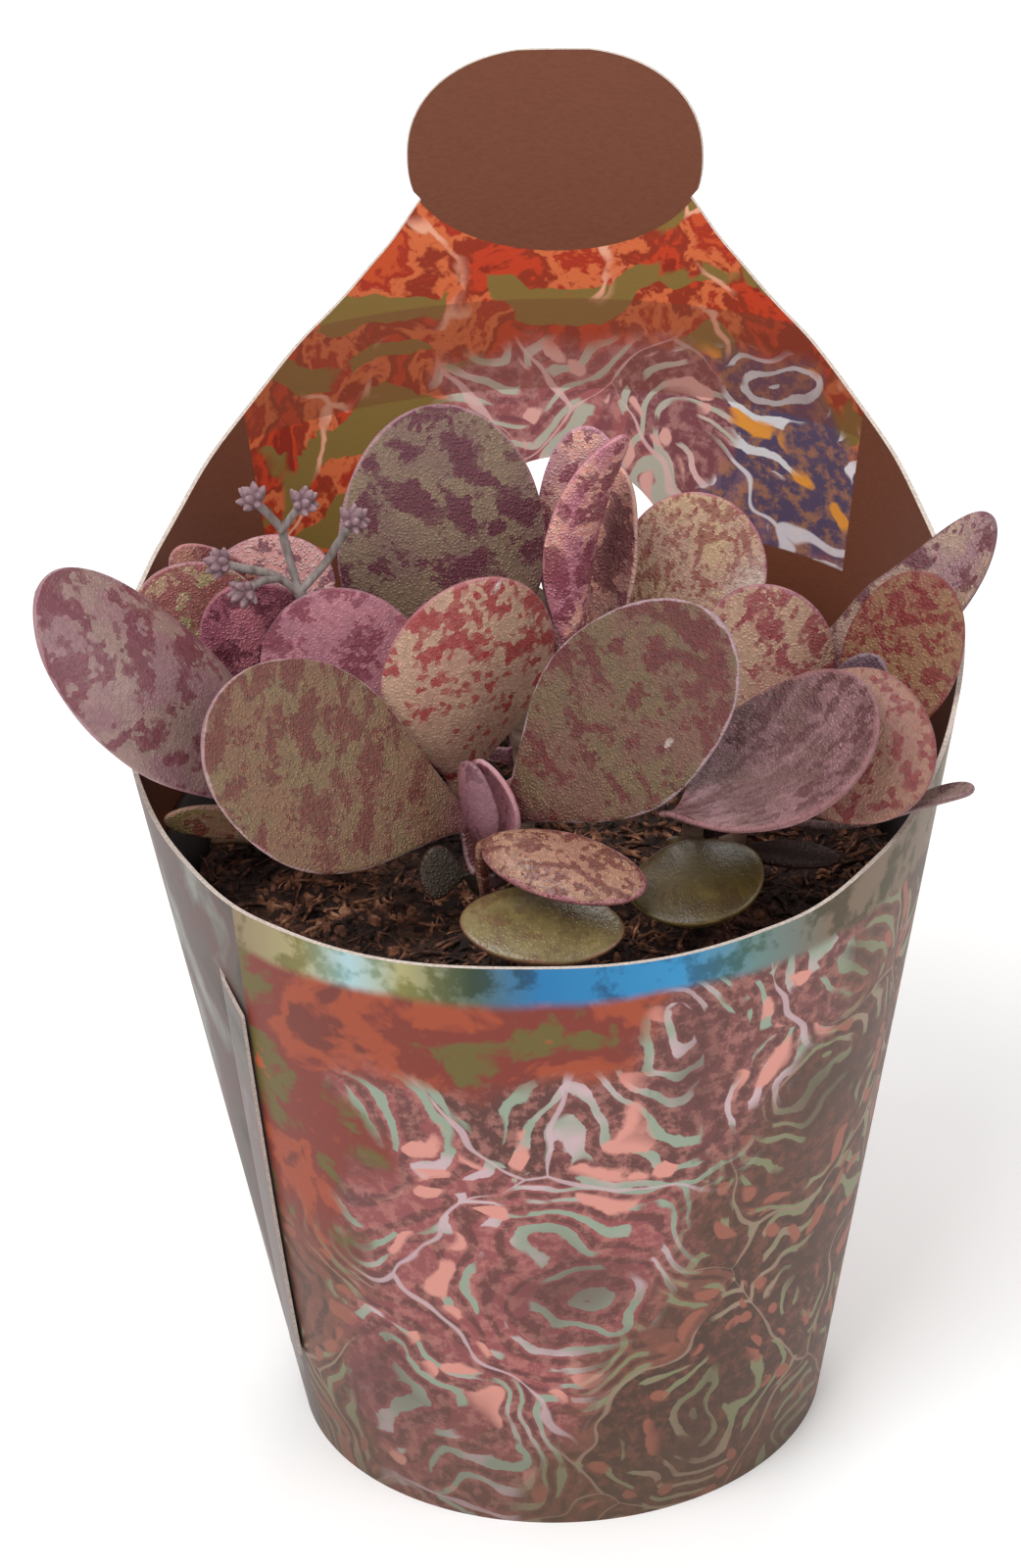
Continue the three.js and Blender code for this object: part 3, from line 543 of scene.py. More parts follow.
def tab_spot(across, up, inner):
    top = tab_high - (tab_high - tab_corner) * across
    height = tab_low + (top - tab_low) * up
    away = tab_fold + (tab_edge - tab_fold) * across
    angle = 180 - math.degrees(away / cone_radius(height))
    rise = tab_lift * (0.03 + 0.45 * across + 0.52 * min(across / 0.25, 1))
    return on_cone(angle, height, -rise + (tab_card if inner else 0))


tab_columns = [
    [(column / tab_steps, row / tab_rows) for row in range(tab_rows + 1)]
    for column in range(tab_steps + 1)]
tab_points, tab_faces, tab_kinds = layer_of_card(tab_columns, tab_spot, closed=False)
tab = mesh_piece("cover_seam_tab", tab_points, tab_faces)
tab_print = Finish("print_on_tab", 0.4, {"Coat Weight": 0.1, "Coat Roughness": 0.3})
tab_place = tab_print.place()
tab_print.paint(grey_print(tab_print, tab_place), tab_print.noise(tab_place, 1500), 0.00002)
faced(tab, tab_kinds, tab_print, cut, cut)
finished(tab, "card_cover", sharp=40)

# The nursery pot stands inside the cover and holds up its rim. It is one thin moulding of
# black plastic with a thicker band below the lip and six drain holes in the floor.
plastic, band_plastic = 0.0009, 0.0013
clearance = 0.0003
pot_foot, pot_height, band_height = 0.0374, 0.095, 0.0085
soften = 0.0002                   # the corners of the moulding are cut by this much


def cover_inside(height):
    return cone_radius(height) - card - clearance


band_foot = pot_height - band_height
wall_top = cover_inside(band_foot) - band_plastic


def pot_wall(height):
    return pot_foot + (wall_top - pot_foot) * height / band_foot


pot_profile = [
    (0.0002, 0), (pot_foot - 0.001, 0),
    (pot_wall(0.0004) - soften, 0.0004), (pot_wall(0.0012), 0.0012),
    (wall_top, band_foot - 0.0008), (cover_inside(band_foot) - soften, band_foot - soften),
    (cover_inside(band_foot), band_foot), (cover_inside(pot_height - 0.0008), pot_height - 0.0008),
    (cover_inside(pot_height) - soften, pot_height - soften),
    (cover_inside(pot_height) - 0.0005, pot_height), (cover_inside(pot_height) - 0.0009, pot_height),
    (cover_inside(pot_height) - band_plastic, pot_height - 0.0004),
    (cover_inside(band_foot) - band_plastic, band_foot + 0.001),
    (wall_top - plastic, band_foot - 0.0008), (pot_wall(0.0012) - plastic, 0.002),
    (pot_foot - 0.002, plastic), (0.0002, plastic),
]


class Grower(Tree):
    """A Geometry Nodes tree with named inputs for its sizes."""

    def __init__(self, name, **sizes):
        self.tree = bpy.data.node_groups.new(name, "GeometryNodeTree")
        super().__init__(self.tree, "GeometryNode", "ShaderNode", "FunctionNode")
        face = self.tree.interface
        face.new_socket("Geometry", in_out="INPUT", socket_type="NodeSocketGeometry")
        face.new_socket("Geometry", in_out="OUTPUT", socket_type="NodeSocketGeometry")
        self.sockets = {
            size: face.new_socket(size, in_out="INPUT", socket_type="NodeSocket" + kind).identifier
            for size, kind in sizes.items()}
        self.end = self.nodes.new("NodeGroupOutput").inputs[0]
        start = self.nodes.new("NodeGroupInput").outputs
        self.start = Wire(self, start[0])
        self.sizes = {size: Wire(self, start[size]) for size in sizes}

    def noise(self, scale):
        return self.node("TexNoise", {"Scale": scale, "Detail": 2})

    def line(self, count):
        """A smooth line of so many points through the corners of the mesh that comes in."""
        line = self.node("MeshToCurve", {"Mesh": self.start})
        line = self.node("CurveSplineType", {"Curve": line}, spline_type="CATMULL_ROM")
        return self.node("ResampleCurve", {"Curve": line, "Count": count})

    def circle(self, count, radius):
        return self.node("CurvePrimitiveCircle", {"Resolution": count, "Radius": radius})

    def rod(self, line, section, **sizes):
        inputs = {"Curve": line, "Profile Curve": section, "Fill Caps": True, **sizes}
        return self.node("CurveToMesh", inputs)

    def set_on(self, points, shape, **inputs):
        return self.node("InstanceOnPoints", {"Points": points, "Instance": shape, **inputs})

    def transform(self, geometry, **inputs):
        return self.node("Transform", {"Geometry": geometry, **inputs})

    def close(self, geometry, finish):
        """Ends the tree: real geometry with its finish."""
        real = self.node("RealizeInstances", {0: geometry})
        self.feed(self.end, self.node("SetMaterial", {"Geometry": real, "Material": finish.material}))

    def grow(self, piece, **sizes):
        """Runs the tree on a piece with these sizes and keeps the result as its mesh."""
        modifier = piece.modifiers.new(self.tree.name, "NODES")
        modifier.node_group = self.tree
        for size, value in sizes.items():
            modifier[self.sockets[size]] = value
        plain_mesh(piece)


def chain(first, count):
    """The edges between neighbours in a row of points."""
    return [(first + step, first + step + 1) for step in range(count - 1)]


black_plastic = Finish("black_plastic", 0.55)
scuffs = black_plastic.noise(black_plastic.place(), 180, 4, 0.6)
black_plastic.paint(black_plastic.ramp(scuffs, (0.35, (30, 27, 26)), (0.7, (50, 46, 44))))

moulded = Grower("turned_pot", Sides="Int", Drains="Int", DrainRadius="Float", DrainCircle="Float")
outline = moulded.node("SetSplineCyclic", {
    "Geometry": moulded.node("MeshToCurve", {"Mesh": moulded.start}), "Cyclic": True})
wall = moulded.node("CurveToMesh", {
    "Curve": moulded.circle(moulded.sizes["Sides"], 0.0001), "Profile Curve": outline})
wall = moulded.transform(wall, Rotation=(math.pi, 0, 0))
wall = moulded.node("MergeByDistance", {"Geometry": wall, "Distance": 0.00015})
drains = moulded.sizes["Drains"]
drill = moulded.node("MeshCylinder", {
    "Vertices": 24, "Radius": moulded.sizes["DrainRadius"], "Depth": 0.008})
spots = moulded.circle(drains, moulded.sizes["DrainCircle"])
spots = moulded.node("CurveToPoints", {"Curve": spots, "Count": drains}, mode="COUNT")
half_step = moulded.node("CombineXYZ", {"Z": moulded.math("DIVIDE", math.pi, drains)})
drills = moulded.transform(moulded.set_on(spots, drill), Rotation=half_step)
drills = moulded.node("RealizeInstances", {0: drills})
holed = moulded.node("MeshBoolean", {"Mesh 1": wall, "Mesh 2": drills}, operation="DIFFERENCE")
moulded.close(holed, black_plastic)

pot = mesh_piece(
    "nursery_pot_moulding", [(*spot, 0) for spot in pot_profile], [], chain(0, len(pot_profile)))
moulded.grow(pot, Sides=128, Drains=6, DrainRadius=0.0034, DrainCircle=0.024)
pot.data.shade_smooth()
finished(pot, "nursery_pot", sharp=35)

# The cuttings are woody stems with a ring where each old leaf fell, pushed into the soil.
stem_radius = 0.0023
stem_bow = Vector((0.0006, -0.0005, 0))
soil_level, cutting_depth = 0.0876, 0.018
stems = {
    "front": ((-0.0070, -0.0190, soil_level), (-0.0065, -0.0215, 0.1025)),
    "left": ((-0.0260, 0.0050, soil_level), (-0.0290, 0.0050, 0.1150)),
    "middle": ((-0.0040, 0.0040, soil_level), (-0.0025, 0.0045, 0.1160)),
    "right": ((0.0270, 0.0030, soil_level), (0.0290, 0.0025, 0.1150)),
    "low_right": ((0.0210, -0.0090, soil_level), (0.0225, -0.0110, 0.1105)),
}

bark = Finish("stem_bark", 0.75)
place = bark.place()
ringed = bark.noise(bark.stretch(place, (1, 1, 5)), 260, 4, 0.6)
bark.paint(
    bark.ramp(ringed, (0.3, (96, 74, 62)), (0.5, (141, 117, 101)), (0.7, (168, 140, 118))),
    bark.noise(bark.stretch(place, (3, 3, 1)), 500, 4, 0.65), 0.00015)

woody = Grower("woody_stem", Radius="Float", Scars="Int")
along = woody.node("SplineParameter")
ring = woody.most(woody.math("COSINE", along * math.tau * woody.sizes["Scars"]), 0) ** 5
taper = along * -0.25 + 1.0
tip = woody.math("SQRT", woody.math("MINIMUM", woody.math("SUBTRACT", 1, along) * 16, 1))
swell = (ring * 0.11 + taper) * tip * (woody.noise(420) * 0.10 + 0.95)
woody.close(woody.rod(woody.line(90), woody.circle(24, 1), Scale=swell * woody.sizes["Radius"]), bark)

for name, ends in stems.items():
    foot, top = (Vector(end) for end in ends)
    path = [foot - Vector((0, 0, cutting_depth)), foot, (foot + top) / 2 + stem_bow, top]
    stem = mesh_piece("cutting_" + name, path, [], chain(0, len(path)))
    woody.grow(stem, Radius=stem_radius, Scars=5)
    stem.data.shade_smooth()
    finished(stem, "stem_" + name, sharp=50)

# The soil is dark peat: a low mound that fills the pot, with loose crumbs and short brown
# fibres on top. The body is one solid, and the litter is scattered over it.
soil_mound, soil_lumps, soil_crumbs, soil_spread = 0.0016, 0.0007, 0.0007, 0.052
soil_rings, soil_sectors = 90, 220
soil_radius = wall_top - plastic - clearance - 0.0005
soil_foot = plastic + clearance
soil_bevel = 0.0027               # height of its lower corner


def soil_height(x, y):
    """The mound, its slow lumps and its crumbly face."""
    out = math.hypot(x, y) / soil_spread
    slow = math.sin(x * 610 + 1.3) * math.cos(y * 530 - 0.4) + 0.6 * math.sin(x * 290 - y * 370 + 2.1)
    clods = noise.fractal(Vector((x * 260, y * 260, 0)), 0.8, 2.1, 4)
    return soil_level + soil_mound * (1 - out * out) + soil_lumps * slow + soil_crumbs * clods


def wrapped(loop, rings):
    """Faces over rings of points, each so many round, closed by a middle point at either end."""
    first, last, end = loop * rings, loop * rings + 1, loop * (rings - 1)
    faces = []
    for step in range(loop):
        there = (step + 1) % loop
        faces.append((first, step, there))
        for near in range(0, end, loop):
            far = near + loop
            faces.append((near + step, far + step, far + there, near + there))
        faces.append((end + there, end + step, last))
    return faces


# Each ring's radius, and its height where that isn't the mound's
reaches = [(soil_radius * ring / soil_rings, None) for ring in range(1, soil_rings + 1)]
reaches += [
    (pot_wall(0.003) - plastic - clearance - 0.0003, soil_bevel), (pot_foot - 0.0035, soil_foot)]
soil_points = []
for reach, height in reaches:
    for sector in range(soil_sectors):
        turn = math.tau * sector / soil_sectors
        x, y = reach * math.cos(turn), reach * math.sin(turn)
        soil_points.append((x, y, height or soil_height(x, y)))
soil_points += [(0, 0, soil_height(0, 0)), (0, 0, soil_foot)]
soil = mesh_piece("peat", soil_points, wrapped(soil_sectors, len(reaches)))

peat = Finish("peat", 0.95)
place = peat.place()
grain = peat.noise(place, 650, 6, 0.7)
dark = peat.ramp(grain, (0.30, (20, 12, 11)), (0.55, (52, 33, 28)), (0.75, (102, 68, 55)))
rich = peat.ramp(grain, (0.30, (34, 20, 16)), (0.55, (92, 57, 43)), (0.75, (160, 110, 84)))
peat.paint(peat.blend(peat.noise(place, 90, 3, 0.6).step(0.46, 0.58), dark, rich), grain, 0.0008)
soil.data.materials.append(peat.material)
finished(soil, "soil", sharp=60)

litter = Grower("peat_litter", Crumbs="Float", Fibres="Float", Seed="Int")
upwards = litter.node("InputNormal").parts()[2]
face_up = litter.node("Compare", {0: upwards, 1: 0.3}, operation="GREATER_THAN")


def strewn(shape, density, smallest, largest, salt, tilt):
    """One shape scattered over the soil at that density, each turned and sized anew."""
    seed = litter.sizes["Seed"] + salt
    spots = litter.node("DistributePointsOnFaces", {
        "Mesh": litter.start, "Selection": face_up, "Density": density, "Seed": seed})
    turn = litter.node("RandomValue", {
        0: (-tilt, -tilt, 0), 1: (tilt, tilt, math.tau), "Seed": seed}, data_type="FLOAT_VECTOR")
    grown = litter.node("RandomValue", {2: 0.0, 3: 1.0, "Seed": seed}, data_type="FLOAT")[1]
    size = grown ** 2.5 * (largest - smallest) + smallest
    return litter.set_on(spots, shape, Rotation=turn, Scale=size)


lump = litter.node("MeshIcoSphere", {"Radius": 1, "Subdivisions": 1})
bumpy = litter.vector("ADD", litter.noise(1.7)["Color"], (-0.5, -0.5, -0.5))
bumpy = litter.vector("MULTIPLY", bumpy, (1.5, 1.5, 1.5))
lump = litter.node("SetPosition", {"Geometry": lump, "Offset": bumpy})
lump = litter.transform(lump, Scale=(1.3, 0.9, 0.6))
thread = litter.node("CurvePrimitiveBezierSegment", {
    "Resolution": 5, "Start": (-1, 0, 0), "Start Handle": (-0.4, 0.35, 0.15),
    "End Handle": (0.4, -0.25, 0.25), "End": (1, 0.15, 0)})
thread = litter.rod(thread, litter.circle(4, 0.085))
heap = litter.node("JoinGeometry", {0: [
    strewn(lump, litter.sizes["Crumbs"], 0.00025, 0.0012, 1, 3.1),
    strewn(thread, litter.sizes["Fibres"], 0.0010, 0.0042, 2, 0.5)]})
litter_finish = Finish("peat_litter", 0.9)
place = litter_finish.place()
heaps = litter_finish.noise(place, 62, 2) + 0.55
tone = litter_finish.noise(place, 330, 3, 0.6) * (heaps * 0.55) + 0.19
litter_finish.paint(
    litter_finish.ramp(
        tone, (0.36, (20, 13, 11)), (0.46, (62, 40, 30)), (0.55, (138, 90, 66)), (0.66, (220, 166, 130))),
    litter_finish.noise(place, 1500), 0.0002)
litter.close(heap, litter_finish)
crumbs = bpy.data.objects.new("peat_litter", soil.data.copy())
add_to_scene(crumbs)
litter.grow(crumbs, Crumbs=560000.0, Fibres=235000.0, Seed=7)
finished(crumbs, "soil")

# The leaves are thick, egg-shaped and fleshy, each on a short flat stalk from its stem. The
# skin is rough with tiny warts, and its maroon blotches stop in jagged steps at the warts.
leaf_edge, leaf_thick = 0.0008, 0.0017
stalk_share = 0.14                # width of the stalk, as a share of the blade's
stalk_half = 0.001                # half its width, and its thickness at the sides, on the stem
leaf_loop, blade_rows, stalk_rows = 56, 46, 12
tip_share = 0.994                 # where the blade ends, so that its tip is round
stalk_flare = 0.0007              # how much wider it starts on the stem
# Half widths over which a blade is fully thick, has a groove, and stops thinning to its tip
full_half, groove_half, slim_half = 0.004, 0.003, 0.0012
edge_radius = 0.0004
leaf_wave, waves_per_metre = 0.00045, 95        # how far the skin swells, and how often
leaf_groove, groove_width = 0.00014, 0.0009     # the shallow channel up the upper side
salts = itertools.count(1)        # sets each leaf's pattern apart from the next


def facing(around, up):
    """The way a leaf looks: degrees round from the front towards +X, and degrees up."""
    around, up = math.radians(around), math.radians(up)
    return Vector((math.cos(up) * math.sin(around), -math.cos(up) * math.cos(around), math.sin(up)))


def blade_half(along, widest, taper):
    """Half the blade's width at a share of its length, as a share of its widest half."""
    if along >= widest:
        return math.sqrt(max(0, 1 - ((along - widest) / (1 - widest)) ** 2))
    return stalk_share + (1 - stalk_share) * math.sin(math.pi / 2 * along / widest) ** taper


def stem_spot(name, height):
    """The middle of a stem at a height."""
    foot, top = (Vector(end) for end in stems[name])
    middle = (foot + top) / 2 + stem_bow
    low, high = (foot, middle) if height < middle.z else (middle, top)
    return low.lerp(high, min(max((height - low.z) / (high.z - low.z), 0), 1))


def square_to(way, run):
    """The part of one direction that stands square on another."""
    return (way - run * way.dot(run)).normalized()


def leaf_rows(stem, at, root, tip, face, width, curl, arch, side, widest, taper, swing, thick):
    """Cross sections from the stem to the tip, each with its middle, frame and sizes."""
    root, tip = Vector(root), Vector(tip)
    length = (tip - root).length
    axis = (tip - root).normalized()
    normal = square_to(facing(*face), axis)
    across = axis.cross(normal)
    rows = []
    if stem:
        centre = stem_spot(stem, at)
        out = ((root - centre) * Vector((1, 1, 0))).normalized()
        start = centre + out * stem_radius * 0.7
        reach = (root - start).length
        bends = (start, start + out * reach * 0.35, root - axis * reach * swing, root)
        for share in (row / stalk_rows for row in range(stalk_rows)):
            left = 1 - share
            weights = (left ** 3, 3 * share * left ** 2, 3 * share ** 2 * left, share ** 3)
            foot_flare = stalk_flare * max(0, 1 - share * 6) ** 2
            rows.append(SimpleNamespace(
                middle=sum((bend * weight for bend, weight in zip(bends, weights)), Vector()),
                half=stalk_half + (stalk_share * width / 2 - stalk_half) * share + foot_flare,
                thick=thick + 0.0002 * left + foot_flare, edge=stalk_half + foot_flare,
                along=-reach * left, share=0.0, bend=0.0))
    for row in range(blade_rows + 1):
        share = min(math.sin(row / blade_rows * math.pi / 2) ** 1.1, 0.9992)
        place_on = share * tip_share
        swell = math.sin(math.pi * place_on)
        rows.append(SimpleNamespace(
            middle=root + axis * place_on * length - across * side * swell + normal * arch * swell,
            half=width / 2 * blade_half(share, widest, taper), thick=thick * (1 - 0.35 * share),
            edge=leaf_edge, along=place_on * length, share=share, bend=math.radians(curl) / (width / 2)))
    for index in range(len(rows) - 1, -1, -1):
        ahead = rows[min(index + 1, len(rows) - 1)].middle
        run = (ahead - rows[max(index - 1, 0)].middle).normalized()
        normal = square_to(normal, run)
        rows[index].up = normal
        rows[index].over = run.cross(normal)
    return rows


def skin_point(row, over, lift, salt):
    """A point of the skin over a cross section, and how far round the blade it lies."""
    wobble = noise.noise(Vector((over * 2, row.along * 110, salt)))
    arc = over * row.half * (1 + 0.012 * wobble)
    turn = row.bend * arc
    out, rise = arc, 0
    if row.bend > 1e-3:
        out, rise = math.sin(turn) / row.bend, (1 - math.cos(turn)) / row.bend
    up = row.up * math.cos(turn) - row.over * math.sin(turn)
    wave = noise.noise(Vector((arc * waves_per_metre, row.along * waves_per_metre, salt + 9)))
    height = wave * leaf_wave * min(1, row.share * 2) * (0.25 + 0.75 * over * over)
    if abs(lift) > 1e-9:
        slim = min(1, math.sqrt(row.half / slim_half)) if row.share > 0.5 else 1
        round_edge = math.sqrt(max(0, 1 - abs(over) ** max(2, 1.6 * row.half / edge_radius)))
        fullness = max(row.thick - row.edge, 0) / 2 * (1 - over * over) * min(1, row.half / full_half)
        depth = (row.edge / 2 * round_edge + fullness) * slim
        groove = leaf_groove * (row.half > groove_half) * (1 - row.share)
        groove *= math.exp(-(arc / groove_width) ** 2)
        height += depth - groove if lift > 0 else -depth
    return row.middle + row.over * out + row.up * rise + up * height, arc


def rim_distance(rows, spots):
    """How far each spot of the flat blade lies from its outline, in mm."""
    wide = [row for row in rows if row.half > 0.001]
    outline = np.array(
        [(-row.half, row.along) for row in wide] + [(row.half, row.along) for row in wide[::-1]]) * 1000
    starts, runs = outline[:-1], np.diff(outline, axis=0)
    flat = spots[:, None, :2]
    shares = ((flat - starts) * runs).sum(2) / np.maximum((runs ** 2).sum(1), 1e-9)
    nearest = starts + np.clip(shares, 0, 1)[..., None] * runs
    return np.linalg.norm(flat - nearest, axis=2).min(1)


def leaf_mesh(name, rows, salt):
    """One closed skin round the cross sections, with its own coordinates as attributes."""
    points, spots, shares = [], [], []
    for row in rows:
        for step in range(leaf_loop):
            turn = math.tau * step / leaf_loop
            over, lift = math.cos(turn), math.sin(turn)
            point, arc = skin_point(row, over, lift, salt)
            points.append(point)
            spots.append((arc * 1000, row.along * 1000, 1.0 if lift >= 0 else -1.0))
            shares.append((over, row.share))
    for end, share in ((rows[0], 0), (rows[-1], 1)):
        points.append(end.middle)
        spots.append((0, end.along * 1000, 0))
        shares.append((0, share))
    piece = mesh_piece(name, points, wrapped(leaf_loop, len(rows)))
    spots = np.array(spots)
    for attribute, values in (
        ("spot", spots),
        ("share", np.column_stack((np.array(shares), rim_distance(rows, spots)))),
    ):
        layer = piece.data.attributes.new(attribute, "FLOAT_VECTOR", "POINT")
        layer.data.foreach_set("vector", np.array(values, np.float32).ravel())
    return piece


def leaf_skin(
        name, salt, ground, second, blotch, rim, size=(6, 4), cover=(0.2, 0.3), fleck=0.04, fleck_size=1.0,
        fade=0.85, wart=1.0, detail=1.2, rim_width=0.5, gloss=0.5, stalk=None, bloom=None, dust=None):
    """The skin: two ground tones, blotches and flecks that stop at the warts, painted highlights on the
    warts, and a rim line: the margin's colour, with a painted highlight where it is paler than the ground.

    size is how wide and how long a blotch is in mm, cover how much of the skin blotches take
    near the root and near the tip, fleck the share of the small cells that hold a fleck. dust
    is a pale powdery spot: its place across and along the blade, and how far it reaches.
    """
    finish = Finish(name, gloss)
    spot = finish.stretch(finish.attribute("spot"), shift=(salt * 31, salt * 17, salt * 7))
    over, share, rim_away = finish.attribute("share").parts()
    stepped = finish.blend(0.8, spot, finish.cells(spot, 1.5 / fleck_size, 0.9)["Position"])
    flow = finish.warp(stepped, 0.16, 5, 1)
    patches = finish.noise(finish.stretch(flow, (1 / size[0], 1 / size[1], 1)), 1.0, detail, 0.45)
    low, high = (0.5 + (0.5 - value) * 0.36 for value in cover)
    limit = finish.node("MapRange", {
        "Value": share, "From Min": 0.2, "From Max": 0.8, "To Min": low, "To Max": high})
    inwards = patches - limit
    grains = finish.cells(stepped, 0.75 / fleck_size)
    chance = grains["Color"].parts()[0]
    dots = chance.step(1 - fleck, 1 - fleck + 0.01) * grains.step(0.42, 0.30)
    tones = finish.noise(finish.stretch(spot, (0.14, 0.1, 1)), 1.0, 4, 0.6)
    base = finish.blend(tones.step(0.42, 0.58), ground, second)
    if stalk:
        base = finish.blend(share.step(0.16, 0.0), base, stalk)
    base = finish.blend(dots * (fade * 0.9), base, blotch)
    strength = inwards.step(0.01, 0.08) * (fade * 0.3) + fade * 0.7
    base = finish.blend(inwards.step(-0.003, 0.010) * strength, base, blotch)
    if bloom:
        powder = finish.stretch(spot, (0.7 / size[0], 0.7 / size[1], 1), (3, 8, 1))
        base = finish.blend(finish.noise(powder, 1.0, 5, 0.7).step(0.50, 0.64) * 0.5, base, bloom)
    if dust:
        over_at, along_at, reach = dust
        where = finish.node("CombineXYZ", {"X": over, "Y": share * 2})
        away = finish.vector("DISTANCE", where, (over_at, along_at * 2, 0))["Value"]
        away += finish.noise(spot, 1.6, 4, 0.7) * (reach * 1.6)
        base = finish.blend(away.step(reach * 2, reach) * 0.8, base, (206, 192, 184))
    crown = finish.cells(spot, 2.1).step(0.50, 0.10)
    mottle = finish.noise(spot, 1.3, 3, 0.6)
    # The tops of the warts are painted lighter and the skin between them darker, over a mottled tone:
    # painted highlights on the warts.
    light = crown * (0.46 * wart) + mottle * 0.5 + (0.26 - 0.20 * wart)
    base = finish.blend(0.8, base, light, "OVERLAY")
    # The rim line is the margin's own colour, and where it is paler than the ground it is a painted
    # highlight along the rounded edge.
    wander = finish.noise(finish.stretch(spot, (0.3, 0.3, 1)), 1.0)
    edge_at = wander * (rim_width * 2.6) + rim_width * -0.75
    base = finish.blend((rim_away - edge_at).step(0.10, -0.10) * 0.6, base, rim)
    finish.paint(base, crown * (0.8 * wart) + mottle * (0.25 + 0.6 * wart), 0.00022)
    return finish


def leaf(
        name, slot, stem, at, root, tip, face, width, curl, colours, arch=0.0, side=0.0, widest=0.6,
        taper=1.25, swing=0.3, thick=leaf_thick, **skin):
    """Grows one leaf on its stem, gives it its skin and sets it in the place of its solid.

    at is its height on the stem, root and tip are the ends of the blade, and face is the way
    it looks. curl is how many degrees its sides turn up, arch and side how far its middle
    line bows up and sideways, widest the share of its length where it is broadest. taper
    narrows it towards the stalk, and swing bends the stalk. The colours are those of the two
    grounds, the blotches and the rim, each scaled to make up for how much light reaches the
    leaf where it stands: painted light and shade over the leaf's own colours.
    """
    salt = next(salts)
    rows = leaf_rows(stem, at, root, tip, face, width, curl, arch, side, widest, taper, swing, thick)
    piece = leaf_mesh(name + "_blade", rows, salt * 3.7)
    piece.data.materials.append(leaf_skin(name + "_skin", salt, *colours, **skin).material)
    finished(piece, name)


# In front a cutting leans out over the rim with two broad leaves, left and right.
leaf(
    "leaf_front_left", "leaf_olive", "front", 0.098, root=(-0.01, -0.018, 0.1055),
    tip=(-0.043, -0.035, 0.129), face=(47, 29), width=0.0296, curl=3, arch=0.001, side=0.0005,
    colours=((129, 103, 74), (132, 95, 72), (109, 45, 43), (182, 148, 152)), size=(9, 3.4),
    cover=(0.34, 0.51), fleck=0.08, fade=0.8, rim_width=0.35, stalk=(126, 74, 76))
leaf(
    "leaf_front_right", "leaf_olive", "front", 0.099, root=(-0.0029, -0.0223, 0.1087),
    tip=(0.0272, -0.0272, 0.1411), face=(-26, 14), width=0.0262, curl=9, arch=0.001, side=-0.001,
    widest=0.55, colours=((120, 95, 70), (122, 84, 70), (105, 41, 43), (186, 158, 166)), size=(8, 3.6),
    cover=(0.26, 0.52), fleck=0.08, rim_width=0.4, stalk=(121, 70, 73), dust=(0.55, 0.62, 0.045))

# At its tip stands a folded young pair, and below it hang its oldest leaves.
# The young pair's stalks are painted almost black: painted shade in the crevice where the two meet.
leaf(
    "young_leaf_left", "leaf_mauve", "front", 0.1012, root=(-0.0054, -0.0287, 0.1071),
    tip=(-0.0082, -0.025, 0.1186), face=(138, -8), width=0.0077, curl=55, arch=-0.0011, side=-0.0003,
    widest=0.42, taper=0.6, colours=((130, 87, 92), (117, 75, 84), (88, 45, 57), (131, 97, 102)),
    size=(5, 6), cover=(0.1, 0.25), fleck=0.06, wart=0.2, rim_width=0.3, stalk=(52, 34, 36))
leaf(
    "young_leaf_right", "leaf_mauve", "front", 0.0985, root=(-0.0026, -0.0262, 0.1065),
    tip=(-0.0074, -0.0239, 0.118), face=(-38, 8), width=0.0072, curl=46, arch=-0.0013, side=-0.0006,
    widest=0.42, taper=0.6, colours=((186, 126, 134), (168, 110, 120), (122, 66, 78), (188, 144, 150)),
    size=(5, 6), cover=(0.1, 0.25), fleck=0.06, wart=0.2, rim_width=0.3, stalk=(77, 59, 59))
leaf(
    "leaf_thick_pink", "leaf_beige", "front", 0.096, root=(-0.0056, -0.0324, 0.1094),
    tip=(0.0169, -0.0376, 0.1056), face=(-6, 66), width=0.0114, curl=3, arch=0.001, side=-0.001,
    widest=0.52, taper=0.55, swing=0.08, thick=0.0044,
    colours=((179, 132, 107), (169, 120, 101), (107, 47, 42), (160, 99, 111)), size=(1.2, 5),
    cover=(0.42, 0.5), fleck=0.16, fade=0.8, detail=1.6, rim_width=0.8, gloss=0.36)
leaf(
    "leaf_low_front", "leaf_olive", "front", 0.093, root=(0.002, -0.0298, 0.101),
    tip=(0.0024, -0.0432, 0.0964), face=(13, 61), width=0.0226, curl=0, arch=0.001, widest=0.53,
    taper=0.6, thick=0.0026, colours=((126, 110, 69), (111, 94, 60), (100, 60, 49), (140, 94, 77)),
    size=(9, 2.5), cover=(0.2, 0.26), fleck=0.12, fade=0.5, wart=0.2, gloss=0.28)
# This small leaf hangs in shadow below the front leaves, and its colours are painted dark: painted shade.
leaf(
    "leaf_small_blue", "leaf_olive", "front", 0.097, root=(-0.0094, -0.0238, 0.0998),
    tip=(-0.0154, -0.0264, 0.102), face=(20, 30), width=0.0075, curl=12,
    colours=((58, 46, 34), (50, 40, 30), (61, 25, 19), (67, 39, 26)), cover=(0.1, 0.2))

